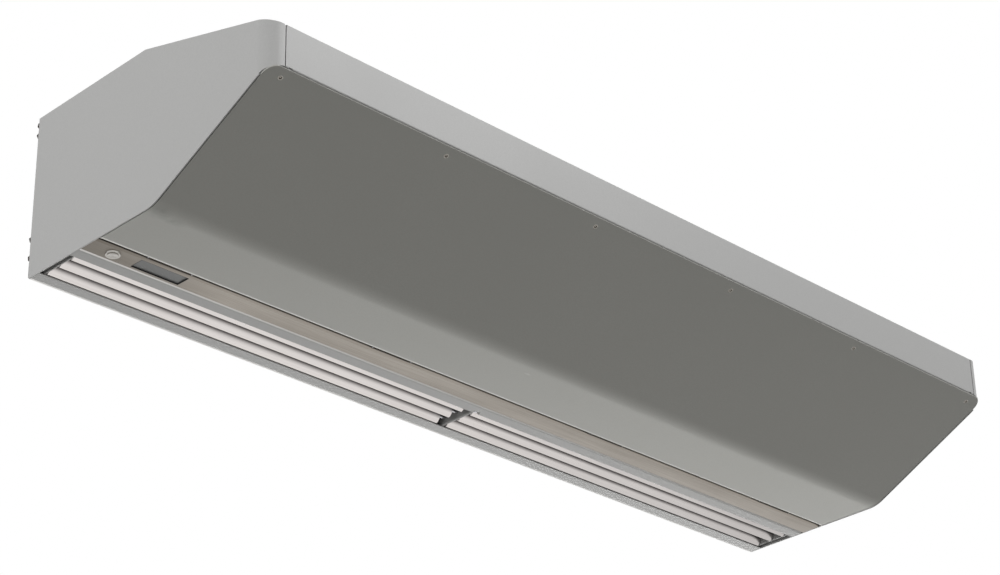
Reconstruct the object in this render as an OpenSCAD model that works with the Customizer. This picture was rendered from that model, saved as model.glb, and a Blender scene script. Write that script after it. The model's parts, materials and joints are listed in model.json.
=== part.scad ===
// Wall-mounted air curtain in a slim wedge-fronted cabinet. Air is drawn in through the sloped grille on
// top, driven by one motor between two blowers, and leaves downwards past three vanes on each side of a
// divider. X runs to the right seen from the front, the wall is at y = 0 with the front towards -Y, and
// Z is up. The origin is the centre of the four wall fixing holes on the back face.

/* [Cabinet] */
// Length across the two end panels
length = 1250; // [1200:10:1400]
// Depth from the wall face to the front of the fascia
depth = 422; // [416:1:434]
// Height from the underside to the flat top
height = 212; // [210:1:224]
// Thickness of the cabinet sheet
sheet = 1.5; // [1.3:0.1:1.8]
// Depth of the flat top, from the wall to the sloped grille
flat_top = 202; // [199:1:208]
// Height at which the sloped top would meet the fascia
slope_end = 149; // [145:1:153]
// Height at which the sloped underside would meet the fascia
fascia_low = 94; // [88:1:98]
// Depth of the flat underside, from the wall to the sloped part of the cover
flat_under = 229; // [224:1:236]
// Radius of the wide bend in the access cover
cover_bend = 55; // [40:5:80]
// Radius of the bend between the flat and the sloped top
top_bend = 6; // [5:0.5:8]
// Radius of the two front corners in plan
corner_r = 22; // [18:1:24]
// Radius of the access cover's front corners in plan
cover_corner_r = 16; // [14:1:17]
// Width of the end panel's return round the front corner
wrap_w = 21; // [18:1:26]
// Seam between that return and the fascia
seam = 1.2; // [0.8:0.1:1.6]
// Reach of the notch at the top of the seam to each side of it
seam_notch = 1; // [0.5:0.1:1.5]
// Distance from each end to the relief slot in the fascia's lower bend
relief_x = 27; // [25:0.5:32]
// Length of that relief slot
relief_w = 4.5; // [3:0.5:6]
// Height of that relief slot
relief_high = 1.2; // [0.8:0.1:1.8]
// Radius of the small folds, at the middle of the sheet
fold_r = 2.2; // [1.8:0.1:2.6]
// Radius of the crisp folds of the fascia and of the back panel, at the middle of the sheet
crisp_r = 1.3; // [1.2:0.1:1.6]
// Width of the end panels' inner flanges
flange_w = 15; // [13:1:18]
// Length of the fascia's lip up the slope, from the sharp corner
fascia_lip = 30; // [26:1:36]
// Length of the top panel's lip down the slope
top_lip = 14; // [11:1:18]
// Height of the top panel's flange down the inside of the back panel
back_flange = 20; // [14:1:26]
// Gap between separate panels that lie edge to edge
panel_gap = 1; // [0.6:0.1:1.4]

/* [Intake grille] */
// Length of one intake slot
slot_len = 58; // [40:1:70]
// Width of one intake slot
slot_wide = 6; // [4:0.5:8]
// Sheet left between the ends of two slots
bridge_len = 12; // [8:1:20]
// Sheet left between the sides of two slots
bridge_wide = 6; // [5:0.5:9]
// Plain border round the slots
grille_border = 20; // [18:1:30]
// Height of the grille's folded long edges
grille_edge = 6; // [4:0.5:8]

/* [Outlet nozzle] */
// Width of the rear rail, from the wall to the slot
rear_rail = 20.5; // [18:0.5:24]
// Width of the outlet slot
nozzle_w = 57.5; // [55:0.5:62]
// Width of the front rail
front_rail = 19; // [17:0.5:22]
// Height of the front rail's upright leg
rail_leg = 30; // [24:1:36]
// Spacing of the three vanes
vane_pitch = 23; // [22:0.5:24]
// Chord of a vane
vane_chord = 34; // [32:1:36]
// Greatest thickness of a vane
vane_thick = 7.6; // [7:0.1:8.4]
// Thickness of a vane's trailing edge
vane_edge = 1.2; // [0.8:0.1:1.6]
// Height of the vane pivots above the underside
pivot_z = 10; // [10:0.5:13]
// Place of the pivot along the chord, from the nose, as a share of the chord
pivot_share = 0.29; // [0.25:0.01:0.3]
// Tilt of the vanes towards the wall as set
vane_tilt = 25; // [0:1:28]
// Distance from each end of the cabinet to the nearest vane end
vane_end = 10.5; // [9.5:0.5:14]
// Gap between the left vanes and the divider
left_vane_gap = 11; // [2:1:14]
// Gap between the right vanes and the divider
right_vane_gap = 1; // [0.6:0.2:3]
// Width of the divider, across its two folded webs
divider_w = 4; // [3.8:0.1:5]
// Height of the divider's upper edge above the underside
divider_top = 64; // [52:1:80]
// Distance that the divider and the end brackets reach over each rail
rail_reach = 7; // [5:1:9]
// Radius of a pivot pin
pin_r = 2; // [1.6:0.1:2.4]
// Radial running clearance of the pins and of the motor shaft
run_clear = 0.06; // [0.04:0.01:0.08]
// Length of a pin inside its vane
pin_hold = 9; // [6:1:12]

/* [Control strip] */
// Width of the stainless control strip
strip_w = 31; // [29:0.5:34]
// Height of the strip's two legs
strip_leg = 22; // [16:1:28]
// Distance from the left end to the push button
button_x = 35; // [28:1:40]
// Radius of the push button
button_r = 6.6; // [5.5:0.1:7.5]
// Width of the button's chrome ring
ring_w = 2.6; // [2:0.1:3]
// Height of the chrome ring below the strip
ring_out = 1.6; // [1:0.1:2.5]
// Travel of the push button
button_travel = 2; // [1:0.5:3]
// Distance from the left end to the near edge of the display window
window_x = 67; // [60:1:74]
// Length of the display window
window_len = 67; // [50:1:80]
// Width of the display window
window_wide = 21; // [16:1:24]
// Depth of the pocket that holds the display window
window_deep = 2; // [2:0.2:3]

/* [Access cover] */
// Gap between the strip and the cover, where the hinges sit
hinge_gap = 3.6; // [3.4:0.1:3.9]
// Gap between the cover and each end panel
cover_gap = 1; // [0.6:0.1:1.6]
// Height of the cover's folded rear edge
cover_lip = 13; // [11:1:18]
// Height of the cover's folded side edges
cover_side = 8; // [5:1:12]
// Number of screws along the cover's front edge
cover_screws_n = 6; // [4:1:8]
// Distance from each end to the first cover screw
cover_screw_x = 25; // [24:1:40]
// Distance from the cover screws down the slope to the fascia's front plane
cover_screw_in = 13; // [11:1:18]
// Radius of a hinge knuckle
knuckle_r = 1.4; // [1.35:0.05:1.5]
// Radius of a hinge pin
hinge_pin_r = 0.8; // [0.7:0.05:0.85]
// Length of one hinge
hinge_len = 60; // [45:5:90]

/* [Blowers] */
// Distance from the wall to the motor shaft
shaft_y = 215; // [212:1:220]
// Height of the motor shaft above the underside, as a share of the cabinet's height
shaft_share = 0.48; // [0.47:0.01:0.49]
// Radius of the blower wheels, as a share of the cabinet's height
wheel_share = 0.28; // [0.26:0.01:0.29]
// Radial depth of the wheel blades, as a share of the wheel's radius
blade_share = 0.18; // [0.15:0.01:0.2]
// Thickness of a wheel blade
blade_thick = 1; // [0.8:0.1:1.4]
// Number of blades on a wheel
blades = 36; // [24:1:40]
// Distance from mid-length to a blower's inner side plate
blower_x = 150; // [144:1:170]
// Width inside a blower housing
scroll_w = 230; // [190:5:250]
// Thickness of the blower housing's sheet
scroll_sheet = 1.2; // [1:0.1:1.6]
// Width of the flange round the blower's outlet
outlet_flange = 9; // [6:1:10]
// Throat radius of the blower inlets, as a share of the wheel's radius
throat_share = 0.77; // [0.7:0.01:0.78]
// Radius of the rounded mouth of an inlet ring
mouth_r = 9; // [6:1:10]
// Radius of the motor shaft
shaft_r = 6.35; // [5:0.05:7]

/* [Motor] */
// Radius of the motor shell, as a share of the cabinet's height
motor_share = 0.29; // [0.27:0.01:0.3]
// Length of the motor shell between its end shields
motor_len = 120; // [100:5:130]
// Wall of the motor shell
motor_wall = 2.5; // [2:0.5:4]
// Depth of an end shield beyond the shell
shield_deep = 22; // [18:1:26]
// Radius of the boss that carries the bearing
boss_r = 22; // [20.5:0.5:24]
// Length of the boss beyond the shield
boss_len = 14; // [12:1:18]
// Thickness of the rubber ring on the boss
rubber_t = 7; // [5:1:9]
// Outer radius of a bearing
bearing_r = 17.5; // [15:0.5:18]
// Width of a bearing
bearing_w = 11; // [8:1:12]

/* [Electrical box] */
// Length of the electrical box
box_len = 124; // [100:2:130]
// Height of the electrical box, as a share of the cabinet's height
box_share = 0.69; // [0.57:0.01:0.7]
// Depth of the electrical box
box_deep = 102; // [90:1:104]
// Radius of the power entry hole
entry_r = 11.1; // [8:0.1:14.5]

/* [Fixings] */
// Distance from each end to the wall fixing holes
wall_inset = 75; // [60:5:120]
// Distance between the two rows of wall fixing holes
wall_rise = 120; // [80:5:140]
// Radius of a wall fixing hole
wall_hole_r = 5.5; // [4:0.5:7]
// Distance from each end to the suspension nuts
hang_inset = 195; // [175:5:210]
// Distance between the suspension nuts across the cabinet
hang_depth = 140; // [110:5:150]
// Radius of the bore of a suspension nut
hang_r = 5; // [4:0.5:6]
// Radius of a screw's shank
screw_r = 2; // [1.6:0.1:2.4]
// Radius of the washer face of a cabinet screw
washer_r = 5.3; // [4.9:0.1:5.4]
// Height of a cabinet screw's head
head_h = 6; // [4:0.5:7]
// Distance from the end to the row of screws up the back
edge_in = 6; // [5.5:0.5:8]

/* [Hidden] */
// Working tolerance of cuts that run past a face
over = 2;
// Clearance between a hinged or sliding piece and what it closes on
shut_gap = 0.4;
$fn = 48;

half = length / 2;
inside = half - sheet;
slope_run = [flat_top - depth, slope_end - height];
slope_angle = atan2(-slope_run.y, -slope_run.x);
slope_size = norm(slope_run);
under_run = [flat_under - depth, fascia_low];
under_angle = atan2(under_run.y, -under_run.x);
lip_y = -depth + fascia_lip * cos(slope_angle);

slot_back = -rear_rail;
slot_front = slot_back - nozzle_w;
rail_front = slot_front - front_rail;
strip_front = rail_front - strip_w;
cover_back = strip_front - hinge_gap;
wall_face = rail_front + sheet;
nozzle_mid = (slot_back + slot_front) / 2;
hinge_y = strip_front - hinge_gap / 2;
hinge_z = knuckle_r + shut_gap;
axis_y = -shaft_y;
shaft_z = shaft_share * height;
wheel_r = wheel_share * height;
blade_deep = blade_share * wheel_r;
throat_r = throat_share * wheel_r;
motor_r = motor_share * height;
blower_end = blower_x + scroll_w;
box_high = box_share * height;

vane_rows = [1, 0, -1];
row_names = ["rear", "middle", "front"];
end_shares = [-1, 1];
hinge_x_shares = [-0.84, -0.3, 0.3, 0.84];
back_screw_shares = [0.14, 0.256, 0.907, 0.971];
top_screw_shares = [0.035, 0.5, 0.93];
grille_screw_shares = [0.2, 0.75];
hang_share = 0.55;
can_share = 0.28;
airfoil_terms = [0.2969, -0.1260, -0.3516, 0.2843, -0.1036];

// Plane geometry
function unit(v) = v / norm(v);
function left_of(v) = [-v.y, v.x];
function backwards(list) = [for (i = [len(list) - 1:-1:0]) list[i]];
function steps(r) = r > 1.6 * corner_r ? 18 : r > 2 * fold_r ? 12 : 5;
function turn(a, b, c) =
  let (u = b - a, v = c - b)
  atan2(u.x * v.y - u.y * v.x, u.x * v.x + u.y * v.y);

// Points of an arc about a centre, from one angle to another
function arc(centre, r, from, to, n) =
  [for (i = [0:n]) centre + r * [cos(from + (to - from) * i / n), sin(from + (to - from) * i / n)]];

// One rounded corner of a path, drawn at a distance to the left of it
function bend(a, b, c, r, side) =
  let (t = turn(a, b, c), s = sign(t), u = unit(b - a),
       centre = b - u * r * tan(abs(t) / 2) + s * r * left_of(u),
       from = atan2(u.y, u.x) - s * 90)
  arc(centre, r - s * side, from, from + t, steps(r));

// A folded path, drawn at a distance to the left of it
function folded(path, radii, side) =
  let (n = len(path))
  concat(
    [path[0] + side * left_of(unit(path[1] - path[0]))],
    [for (i = [1:1:n - 2]) each bend(path[i - 1], path[i], path[i + 1], radii[i - 1], side)],
    [path[n - 1] + side * left_of(unit(path[n - 1] - path[n - 2]))]
  );

// Outline of folded sheet between two distances from a path
function band(path, radii, low, high) =
  concat(folded(path, radii, high), backwards(folded(path, radii, low)));
function strip(path, radii, thick = sheet) = band(path, radii, -thick / 2, thick / 2);

// Outline of the last flat part of a folded sheet
function last_flat(path, radii) =
  let (high = folded(path, radii, sheet / 2), low = folded(path, radii, -sheet / 2), n = len(high) - 1)
  [high[n - 1], high[n], low[n], low[n - 1]];

// A closed outline with its corners rounded
function rounded(path, radii) =
  let (n = len(path))
  [for (i = [0:n - 1])
    each radii[i] == 0 ? [path[i]] :
      bend(path[(i + n - 1) % n], path[i], path[(i + 1) % n], radii[i], 0)];

// The corner between two edges of a closed outline, moved in by a distance from each edge
function inner_corner(path, i, before, after) =
  let (n = len(path), a = path[(i + n - 1) % n], b = path[i], c = path[(i + 1) % n],
       p = left_of(unit(b - a)), q = left_of(unit(c - b)), d = p.x * q.y - p.y * q.x)
  b + [before * q.y - after * p.y, after * p.x - before * q.x] / d;
function inset(path, d) = [for (i = [0:len(path) - 1]) inner_corner(path, i, d, d)];

// Side view of the cabinet: wall bottom, wall top, end of the flat top, fascia top, fascia bottom,
// and the start of the sloped underside
profile = [[0, 0], [0, height], [-flat_top, height], [-depth, slope_end], [-depth, fascia_low],
           [-flat_under, 0]];
function profile_radii(d) =
  [fold_r + sheet / 2, 0, top_bend - d, crisp_r + sheet / 2 - d, 0, cover_bend - d];
mid_line = inset(profile, sheet / 2);
liner_line = inset(profile, sheet * 3 / 2);

// Stretches an outline drawn in y and z along the cabinet
module along_x(from, to) {
  translate([from, 0, 0]) rotate([90, 0, 90]) linear_extrude(to - from) children();
}

// Stretches an outline drawn in x and z from back to front
module along_y(from, to) {
  translate([0, to, 0]) rotate([90, 0, 0]) linear_extrude(to - from) children();
}

// A round bar along X between two places
module bar_x(r, from, to, y, z) {
  translate([from, y, z]) rotate([0, 90, 0]) cylinder(r = r, h = to - from);
}

// A turned shape about an axis along X
module turned_x(y, z) {
  translate([0, y, z]) rotate([90, 0, 90]) rotate_extrude() children();
}

// The space inside the front corners in plan, drawn in from the sides and from the front
module plan_block(side, front, r = corner_r) {
  outline = [[side - half, 0], [side - half, front - depth], [half - side, front - depth], [half - side, 0]];
  translate([0, 0, -over]) linear_extrude(height + 2 * over)
    polygon(rounded(outline, [0, r - front, r - front, 0]));
}
// Height of the sloped underside, moved in by a gap
function under_z(y, gap) = fascia_low - (y + depth) * tan(under_angle) + gap / cos(under_angle);

// Local frames: on the sloped top and on the sloped underside, with Z pointing out of the sheet
module on_slope(x, down) {
  translate([x, -flat_top - down * cos(slope_angle), height - down * sin(slope_angle)])
    rotate([slope_angle, 0, 0]) children();
}
module on_cover(x, up) {
  translate([x, -depth + up * cos(under_angle), fascia_low - up * sin(under_angle)])
    rotate([180 - under_angle, 0, 0]) children();
}

// Places of repeated fixings
module at_back_screws(sides = end_shares) {
  for (side = sides, share = back_screw_shares)
    translate([side * (half - edge_in), 0, share * height]) rotate([-90, 0, 0]) children();
}
module at_top_screws(sides = end_shares) {
  for (side = sides, share = top_screw_shares)
    translate([side * (half - flange_w * 2 / 3), -share * flat_top, height]) children();
}
module at_grille_screws(sides = end_shares) {
  for (side = sides, share = grille_screw_shares)
    on_slope(side * (half - flange_w * 2 / 3), share * slope_size) children();
}
module at_cover_screws() {
  span = length - 2 * cover_screw_x;
  for (i = [0:cover_screws_n - 1])
    on_cover(i * span / (cover_screws_n - 1) - span / 2, cover_screw_in) children();
}
module at_wall_holes() {
  for (x = end_shares * (half - wall_inset), z = [-wall_rise / 2, wall_rise / 2])
    translate([x, 0, height / 2 + z]) rotate([-90, 0, 0]) children();
}
module at_suspension() {
  for (x = end_shares * (half - hang_inset), y = [-hang_depth / 2, hang_depth / 2])
    translate([x, y - hang_share * flat_top, height]) children();
}
module drill(r = screw_r, deep = sheet * 3) {
  translate([0, 0, -deep]) cylinder(r = r, h = deep + over);
}

// Cabinet
module back_panel() {
  path = [[slot_back, sheet / 2], [-sheet / 2, sheet / 2], [-sheet / 2, height]];
  color("gainsboro") difference() {
    along_x(-inside, inside) polygon(strip(path, [crisp_r]));
    at_back_screws() drill();
    at_wall_holes() drill(wall_hole_r);
  }
}

module top_panel() {
  slope_dir = unit(mid_line[3] - mid_line[2]);
  top_path = [[-sheet, mid_line[1].y], mid_line[2], mid_line[2] + slope_dir * top_lip];
  back_path = [[liner_line[1].x, height - back_flange], [liner_line[1].x, mid_line[1].y],
               [-back_flange, mid_line[1].y]];
  reach = inside - flange_w - panel_gap;
  color("gainsboro") difference() {
    union() {
      along_x(-inside, inside) polygon(strip(top_path, [top_bend - sheet / 2]));
      along_x(-reach, reach) polygon(strip(back_path, [fold_r]));
    }
    at_top_screws() drill();
    at_suspension() drill(hang_r);
    translate([entry_x, entry_y, height]) drill(entry_r);
  }
}

module end_panel() {
  lip = unit(liner_line[3] - liner_line[2]);
  liner_end = liner_line[2] + lip * (slope_size - fascia_lip - panel_gap);
  liner = [[liner_line[0].x, height * back_screw_shares[0] / 2], liner_line[1], liner_line[2], liner_end];
  radii = [fold_r - sheet / 2, top_bend - sheet * 3 / 2];
  difference() {
    union() {
      intersection() {
        along_x(-half, -inside) polygon(rounded(profile, profile_radii(0)));
        plan_block(0, 0);
      }
      difference() {
        intersection() {
          along_x(-half, wrap_w - half) polygon(rounded(profile, profile_radii(0)));
          plan_block(0, 0);
          translate([-half, -depth, 0]) cube([wrap_w, depth + lip_y, height]);
        }
        intersection() {
          union() {
            along_x(-inside, wrap_w - half + over)
              polygon(rounded(inset(profile, sheet), profile_radii(sheet)));
            translate([-inside, -depth, 0]) cube([wrap_w, depth, fascia_low + 2 * sheet]);
          }
          plan_block(sheet, sheet);
        }
      }
      along_x(-inside - sheet / 2, flange_w - inside) polygon(strip(liner, radii));
    }
    along_x(-half - over, wrap_w - half + over) polygon(over_cover);
    top_notch();
    at_back_screws([-1]) drill(deep = 2 * sheet + over);
    at_top_screws([-1]) drill(deep = 2 * sheet + over);
    at_grille_screws([-1]) drill(deep = 2 * sheet + over);
  }
}
// Clearance over the cover's front corners, drawn in y and z
over_cover = [for (y = [-depth - over, corner_r * 0.8 - depth], side = [0, 1])
  [y, side > 0 == y > -depth ? 0 : under_z(y, sheet + shut_gap)]];
// Relief at the top of the seam
module top_notch() {
  translate([wrap_w - half - seam_notch, -depth - over, slope_end - sheet * 1.5])
    cube([seam + 2 * seam_notch, over + 3 * sheet, height]);
}
module left_end_panel() {
  color("silver") end_panel();
}
module right_end_panel() {
  color("silver") mirror([1, 0, 0]) end_panel();
}

lip_dir = unit(profile[5] - profile[4]);
module front_fascia() {
  low_corner = inner_corner(profile, 4, sheet / 2, sheet * 3 / 2 + shut_gap);
  top_dir = unit(profile[2] - profile[3]);
  path = [mid_line[3] + top_dir * fascia_lip, mid_line[3], low_corner,
          low_corner + lip_dir * (cover_screw_in + wrap_w / 2)];
  radii = [crisp_r, crisp_r];
  reach = half - wrap_w - seam;
  lip_reach = inside - panel_gap;
  color("silver") difference() {
    union() {
      along_x(-reach, reach) polygon(strip(path, radii));
      intersection() {
        along_x(-lip_reach, lip_reach) polygon(last_flat(path, radii));
        plan_block(sheet + panel_gap, sheet + panel_gap);
      }
    }
    at_cover_screws() drill(screw_r + 2 * shut_gap, sheet * 4);
    for (side = [0, 1]) mirror([side, 0, 0]) {
      top_notch();
      translate([relief_x - half, -depth - over, fascia_low])
        cube([relief_w, over + sheet, relief_high + under_z(-depth, sheet + shut_gap) - fascia_low]);
    }
  }
}

module intake_grille() {
  near = top_lip + panel_gap;
  far = slope_size - fascia_lip - panel_gap;
  wide = far - near;
  step = slot_len + bridge_len;
  rise = slot_wide + bridge_wide;
  columns = floor((2 * inside - 2 * grille_border + bridge_len) / step);
  rows = floor((wide - 2 * grille_border + bridge_wide) / rise);
  reach = inside - flange_w - panel_gap;
  color("gainsboro") on_slope(0, near) difference() {
    union() {
      translate([-inside, -wide, -sheet]) linear_extrude(sheet) difference() {
        square([2 * inside, wide]);
        for (i = [0:columns - 1], j = [0:rows - 1])
          translate([inside + (i - columns / 2) * step + bridge_len / 2,
                     wide / 2 + (j - rows / 2) * rise + bridge_wide / 2]) slot();
      }
      for (y = [-wide, -sheet])
        translate([-reach, y, -sheet - grille_edge]) cube([2 * reach, sheet, grille_edge + sheet / 2]);
    }
    for (side = end_shares, share = grille_screw_shares)
      translate([side * (half - flange_w * 2 / 3), near - share * slope_size, 0]) drill();
  }
}
module slot() {
  end = slot_wide / 2;
  translate([end, 0]) square([slot_len - slot_wide, slot_wide]);
  for (x = [end, slot_len - end]) translate([x, end]) circle(end, $fn = 16);
}

// Access cover with its screws and hinges
cover_path = [[cover_back - sheet / 2, cover_lip], [cover_back - sheet / 2, sheet / 2], mid_line[5],
              mid_line[4]];
module access_cover() {
  reach = inside - cover_gap;
  side_path = [[cover_back - sheet, sheet / 2], mid_line[5],
               mid_line[4] + lip_dir * (cover_screw_in + wrap_w)];
  color("gray") difference() {
    intersection() {
      union() {
        along_x(-reach, reach) polygon(strip(cover_path, [fold_r, cover_bend - sheet / 2]));
        for (x = [-reach, reach - sheet])
          along_x(x, x + sheet)
            polygon(band(side_path, [cover_bend - sheet / 2], -cover_side, sheet / 2));
      }
      plan_block(sheet + cover_gap, 0, cover_corner_r);
    }
    at_cover_screws() drill();
    at_cover_screws() head_cone();
  }
}
head_deep = sheet * 0.9;
module head_cone() {
  translate([0, 0, -head_deep]) cylinder(r1 = screw_r, r2 = screw_r + head_deep, h = head_deep, $fn = 32);
}
module cover_screws() {
  socket = screw_r * 0.85;
  color("dimgray") at_cover_screws() difference() {
    union() {
      head_cone();
      translate([0, 0, -sheet * 3]) cylinder(r = screw_r, h = sheet * 3 - head_deep, $fn = 32);
    }
    translate([0, 0, -sheet * 0.6]) cylinder(r = socket, h = sheet, $fn = 6);
  }
}

// Hinges: fixed leaves on the strip, cover leaves on the rear lip, and their pins
knuckle_share = 1 / 3;
module at_hinges() {
  for (share = hinge_x_shares)
    translate([share * inside - hinge_len / 2, hinge_y, hinge_z]) children();
}
module knuckle(from_share, to_share, bore) {
  translate([hinge_len * from_share, 0, 0]) rotate([0, 90, 0]) difference() {
    cylinder(r = knuckle_r, h = hinge_len * (to_share - from_share), $fn = 32);
    translate([0, 0, -over]) cylinder(r = bore, h = hinge_len + 2 * over, $fn = 32);
  }
}
leaf_t = (hinge_gap / 2 - hinge_pin_r) / 2;
module leaf(from_share, to_share, high, y) {
  translate([hinge_len * from_share, y, 0]) cube([hinge_len * (to_share - from_share), leaf_t, high]);
}
module hinge_leaves() {
  high = strip_leg - hinge_z - fold_r;
  color("darkgray") at_hinges() {
    for (from = [0, 1 - knuckle_share]) union() {
      knuckle(from, from + knuckle_share, hinge_pin_r);
      leaf(from, from + knuckle_share, high / 2, hinge_gap / 2 - leaf_t);
    }
  }
}
module cover_leaves() {
  play = panel_gap / 2 / hinge_len;
  color("darkgray") at_hinges() union() {
    knuckle(knuckle_share + play, 1 - knuckle_share - play, hinge_pin_r + run_clear);
    leaf(knuckle_share + play, 1 - knuckle_share - play, cover_lip - hinge_z, -hinge_gap / 2);
  }
}
module hinge_pins() {
  color("dimgray") at_hinges() translate([-sheet, 0, 0]) rotate([0, 90, 0])
    cylinder(r = hinge_pin_r, h = hinge_len + 2 * sheet, $fn = 32);
}

// Outlet nozzle
notch_w = 3 * divider_w;
notch_deep = rail_reach * 0.75;
module nozzle_front_rail() {
  path = [[slot_front, sheet / 2], [rail_front + sheet / 2, sheet / 2], [rail_front + sheet / 2, rail_leg]];
  color("silver") difference() {
    along_x(-inside, inside) polygon(strip(path, [fold_r]));
    translate([-notch_w / 2, slot_front - notch_deep, -over]) cube([notch_w, notch_deep + over, height]);
  }
}

module nozzle_divider() {
  web = (divider_w - sheet) / 2;
  base = sheet * 3 / 2;
  path = [[-web, divider_top], [-web, base], [web, base], [web, divider_top]];
  color("darkgray") difference() {
    union() {
      along_y(slot_front - rail_reach, slot_back + rail_reach) polygon(strip(path, [web, web] * 0.9));
      translate([-notch_w / 2 - sheet, slot_front - rail_reach, sheet])
        cube([notch_w + 2 * sheet, rail_reach, sheet]);
    }
    for (row = [0:2]) bar_x(pin_r + run_clear, -divider_w, divider_w, row_y(row), pivot_z);
    at_divider_screw() cylinder(r = screw_r * 0.7, h = over + sheet, $fn = 32);
  }
}
module at_divider_screw() {
  translate([0, slot_front - notch_deep / 2, sheet]) children();
}
module divider_screw() {
  color("white") at_divider_screw() union() {
    translate([0, 0, -sheet * 0.8]) cylinder(r = screw_r * 1.15, h = sheet * 0.8, $fn = 32);
    cylinder(r = screw_r * 0.7, h = sheet, $fn = 32);
  }
}

// Brackets at the outer ends of the vanes
bracket_x = half - vane_end + panel_gap + sheet / 2;
module vane_bracket() {
  wall_x = -inside + sheet / 2;
  shelf = divider_top * 0.72;
  path = [[wall_x, divider_top], [wall_x, shelf], [-bracket_x, shelf], [-bracket_x, sheet]];
  difference() {
    along_y(slot_front - rail_reach, slot_back + rail_reach)
      polygon(strip(path, [fold_r, fold_r]));
    for (row = [0:2])
      bar_x(pin_r + run_clear, -bracket_x - sheet, -bracket_x + sheet, row_y(row), pivot_z);
  }
}
module left_vane_bracket() {
  color("darkgray") vane_bracket();
}
module right_vane_bracket() {
  color("darkgray") mirror([1, 0, 0]) vane_bracket();
}

// Vanes: an airfoil with its round nose down and its thin edge up, and its pins
function row_y(row) = nozzle_mid + vane_rows[row] * vane_pitch;
function airfoil_half(t) =
  let (terms = [sqrt(t), t, pow(t, 2), pow(t, 3), pow(t, 4)])
  t * vane_edge / 2 + 5 * vane_thick * (airfoil_terms * terms);
function airfoil() =
  let (n = 14, places = [for (i = [0:n]) (1 - cos(180 * i / n)) / 2])
  concat([for (t = places) [-airfoil_half(t), vane_chord * (t - pivot_share)]],
         [for (i = [n:-1:1]) [airfoil_half(places[i]), vane_chord * (places[i] - pivot_share)]]);
function vane_span(side) =
  side < 0 ? [vane_end - half, -divider_w / 2 - left_vane_gap]
           : [divider_w / 2 + right_vane_gap, half - vane_end];
module vane(side, row) {
  span = vane_span(side);
  color("whitesmoke") difference() {
    translate([0, row_y(row), pivot_z]) along_x(span[0], span[1]) rotate(vane_tilt) polygon(airfoil());
    bar_x(pin_r, span[0] - over, span[0] + pin_hold, row_y(row), pivot_z);
    bar_x(pin_r, span[1] - pin_hold, span[1] + over, row_y(row), pivot_z);
  }
}
module vane_pins(side, row) {
  span = vane_span(side);
  outer = bracket_x + sheet * 3 / 2;
  inner = divider_w / 2 - sheet * 0.9;
  low = side < 0 ? -outer : inner;
  high = side < 0 ? -inner : outer;
  color("lightgray") {
    bar_x(pin_r, low, span[0] + pin_hold, row_y(row), pivot_z);
    bar_x(pin_r, span[1] - pin_hold, high, row_y(row), pivot_z);
  }
}

// Wall between the outlet plenum and the fan chamber
tongue_angle = 20;
wrap_angle = 290;
tongue_r = wheel_r * 1.07;
outlet_r = wheel_r * 1.48;
outlet_low = shaft_z + tongue_r * sin(tongue_angle);
outlet_high = shaft_z + outlet_r;
module plenum_wall() {
  mid = wall_face + sheet / 2;
  path = [[mid, sheet + fold_r], [mid, liner_line[1].y], [mid + flange_w, liner_line[1].y]];
  reach = inside - flange_w - panel_gap;
  liner_low = height - 2 * sheet - panel_gap;
  color("lightgray") difference() {
    along_x(-inside, inside) polygon(strip(path, [fold_r]));
    for (side = end_shares) {
      translate([side * (reach + flange_w) - flange_w, wall_face - over, liner_low])
        cube([2 * flange_w, 2 * flange_w, height]);
      translate([side * (blower_x + blower_end) / 2 - scroll_w / 2, wall_face - over, outlet_low])
        cube([scroll_w, sheet + 2 * over, outlet_high - outlet_low]);
    }
  }
}

// Blower housings
function spiral(angle, extra) =
  [axis_y, shaft_z]
  + (tongue_r + (outlet_r - tongue_r) * angle / wrap_angle + extra)
  * [cos(tongue_angle - angle), sin(tongue_angle - angle)];
scroll_steps = 36;
function scroll_outline(extra, past) =
  concat([for (i = [extra > 0 ? 1 : 0:scroll_steps]) spiral(i * wrap_angle / scroll_steps, extra)],
         [[wall_face + past, outlet_high + extra], [wall_face + past, outlet_low - extra]]);
module scroll(side) {
  low = side < 0 ? -blower_end : blower_x;
  frame = scroll_sheet + outlet_flange;
  difference() {
    union() {
      along_x(low - scroll_sheet, low + scroll_w + scroll_sheet) polygon(scroll_outline(scroll_sheet, 0));
      translate([low - frame, wall_face - scroll_sheet, outlet_low - frame])
        cube([scroll_w + 2 * frame, scroll_sheet, outlet_high - outlet_low + 2 * frame]);
    }
    along_x(low, low + scroll_w) polygon(scroll_outline(0, over));
    bar_x(throat_r + mouth_r + scroll_sheet / 2, low - over, low + scroll_w + over, axis_y, shaft_z);
  }
}
module left_scroll() {
  color("lightsteelblue") scroll(-1);
}
module right_scroll() {
  color("lightsteelblue") scroll(1);
}

// Rounded inlet rings on both sides of a blower
inlet_deep = mouth_r + scroll_sheet * 2;
module inlets(side) {
  edge = throat_r + scroll_sheet / 2;
  path = [[edge + mouth_r + outlet_flange, -scroll_sheet / 2], [edge, -scroll_sheet / 2],
          [edge, inlet_deep]];
  low = side < 0 ? -blower_end : blower_x;
  translate([low - scroll_sheet, 0, 0])
    turned_x(axis_y, shaft_z) polygon(strip(path, [mouth_r], scroll_sheet));
  translate([low + scroll_w + scroll_sheet, 0, 0]) mirror([1, 0, 0])
    turned_x(axis_y, shaft_z) polygon(strip(path, [mouth_r], scroll_sheet));
}
module left_inlets() {
  color("lightgray") inlets(-1);
}
module right_inlets() {
  color("lightgray") inlets(1);
}

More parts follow.
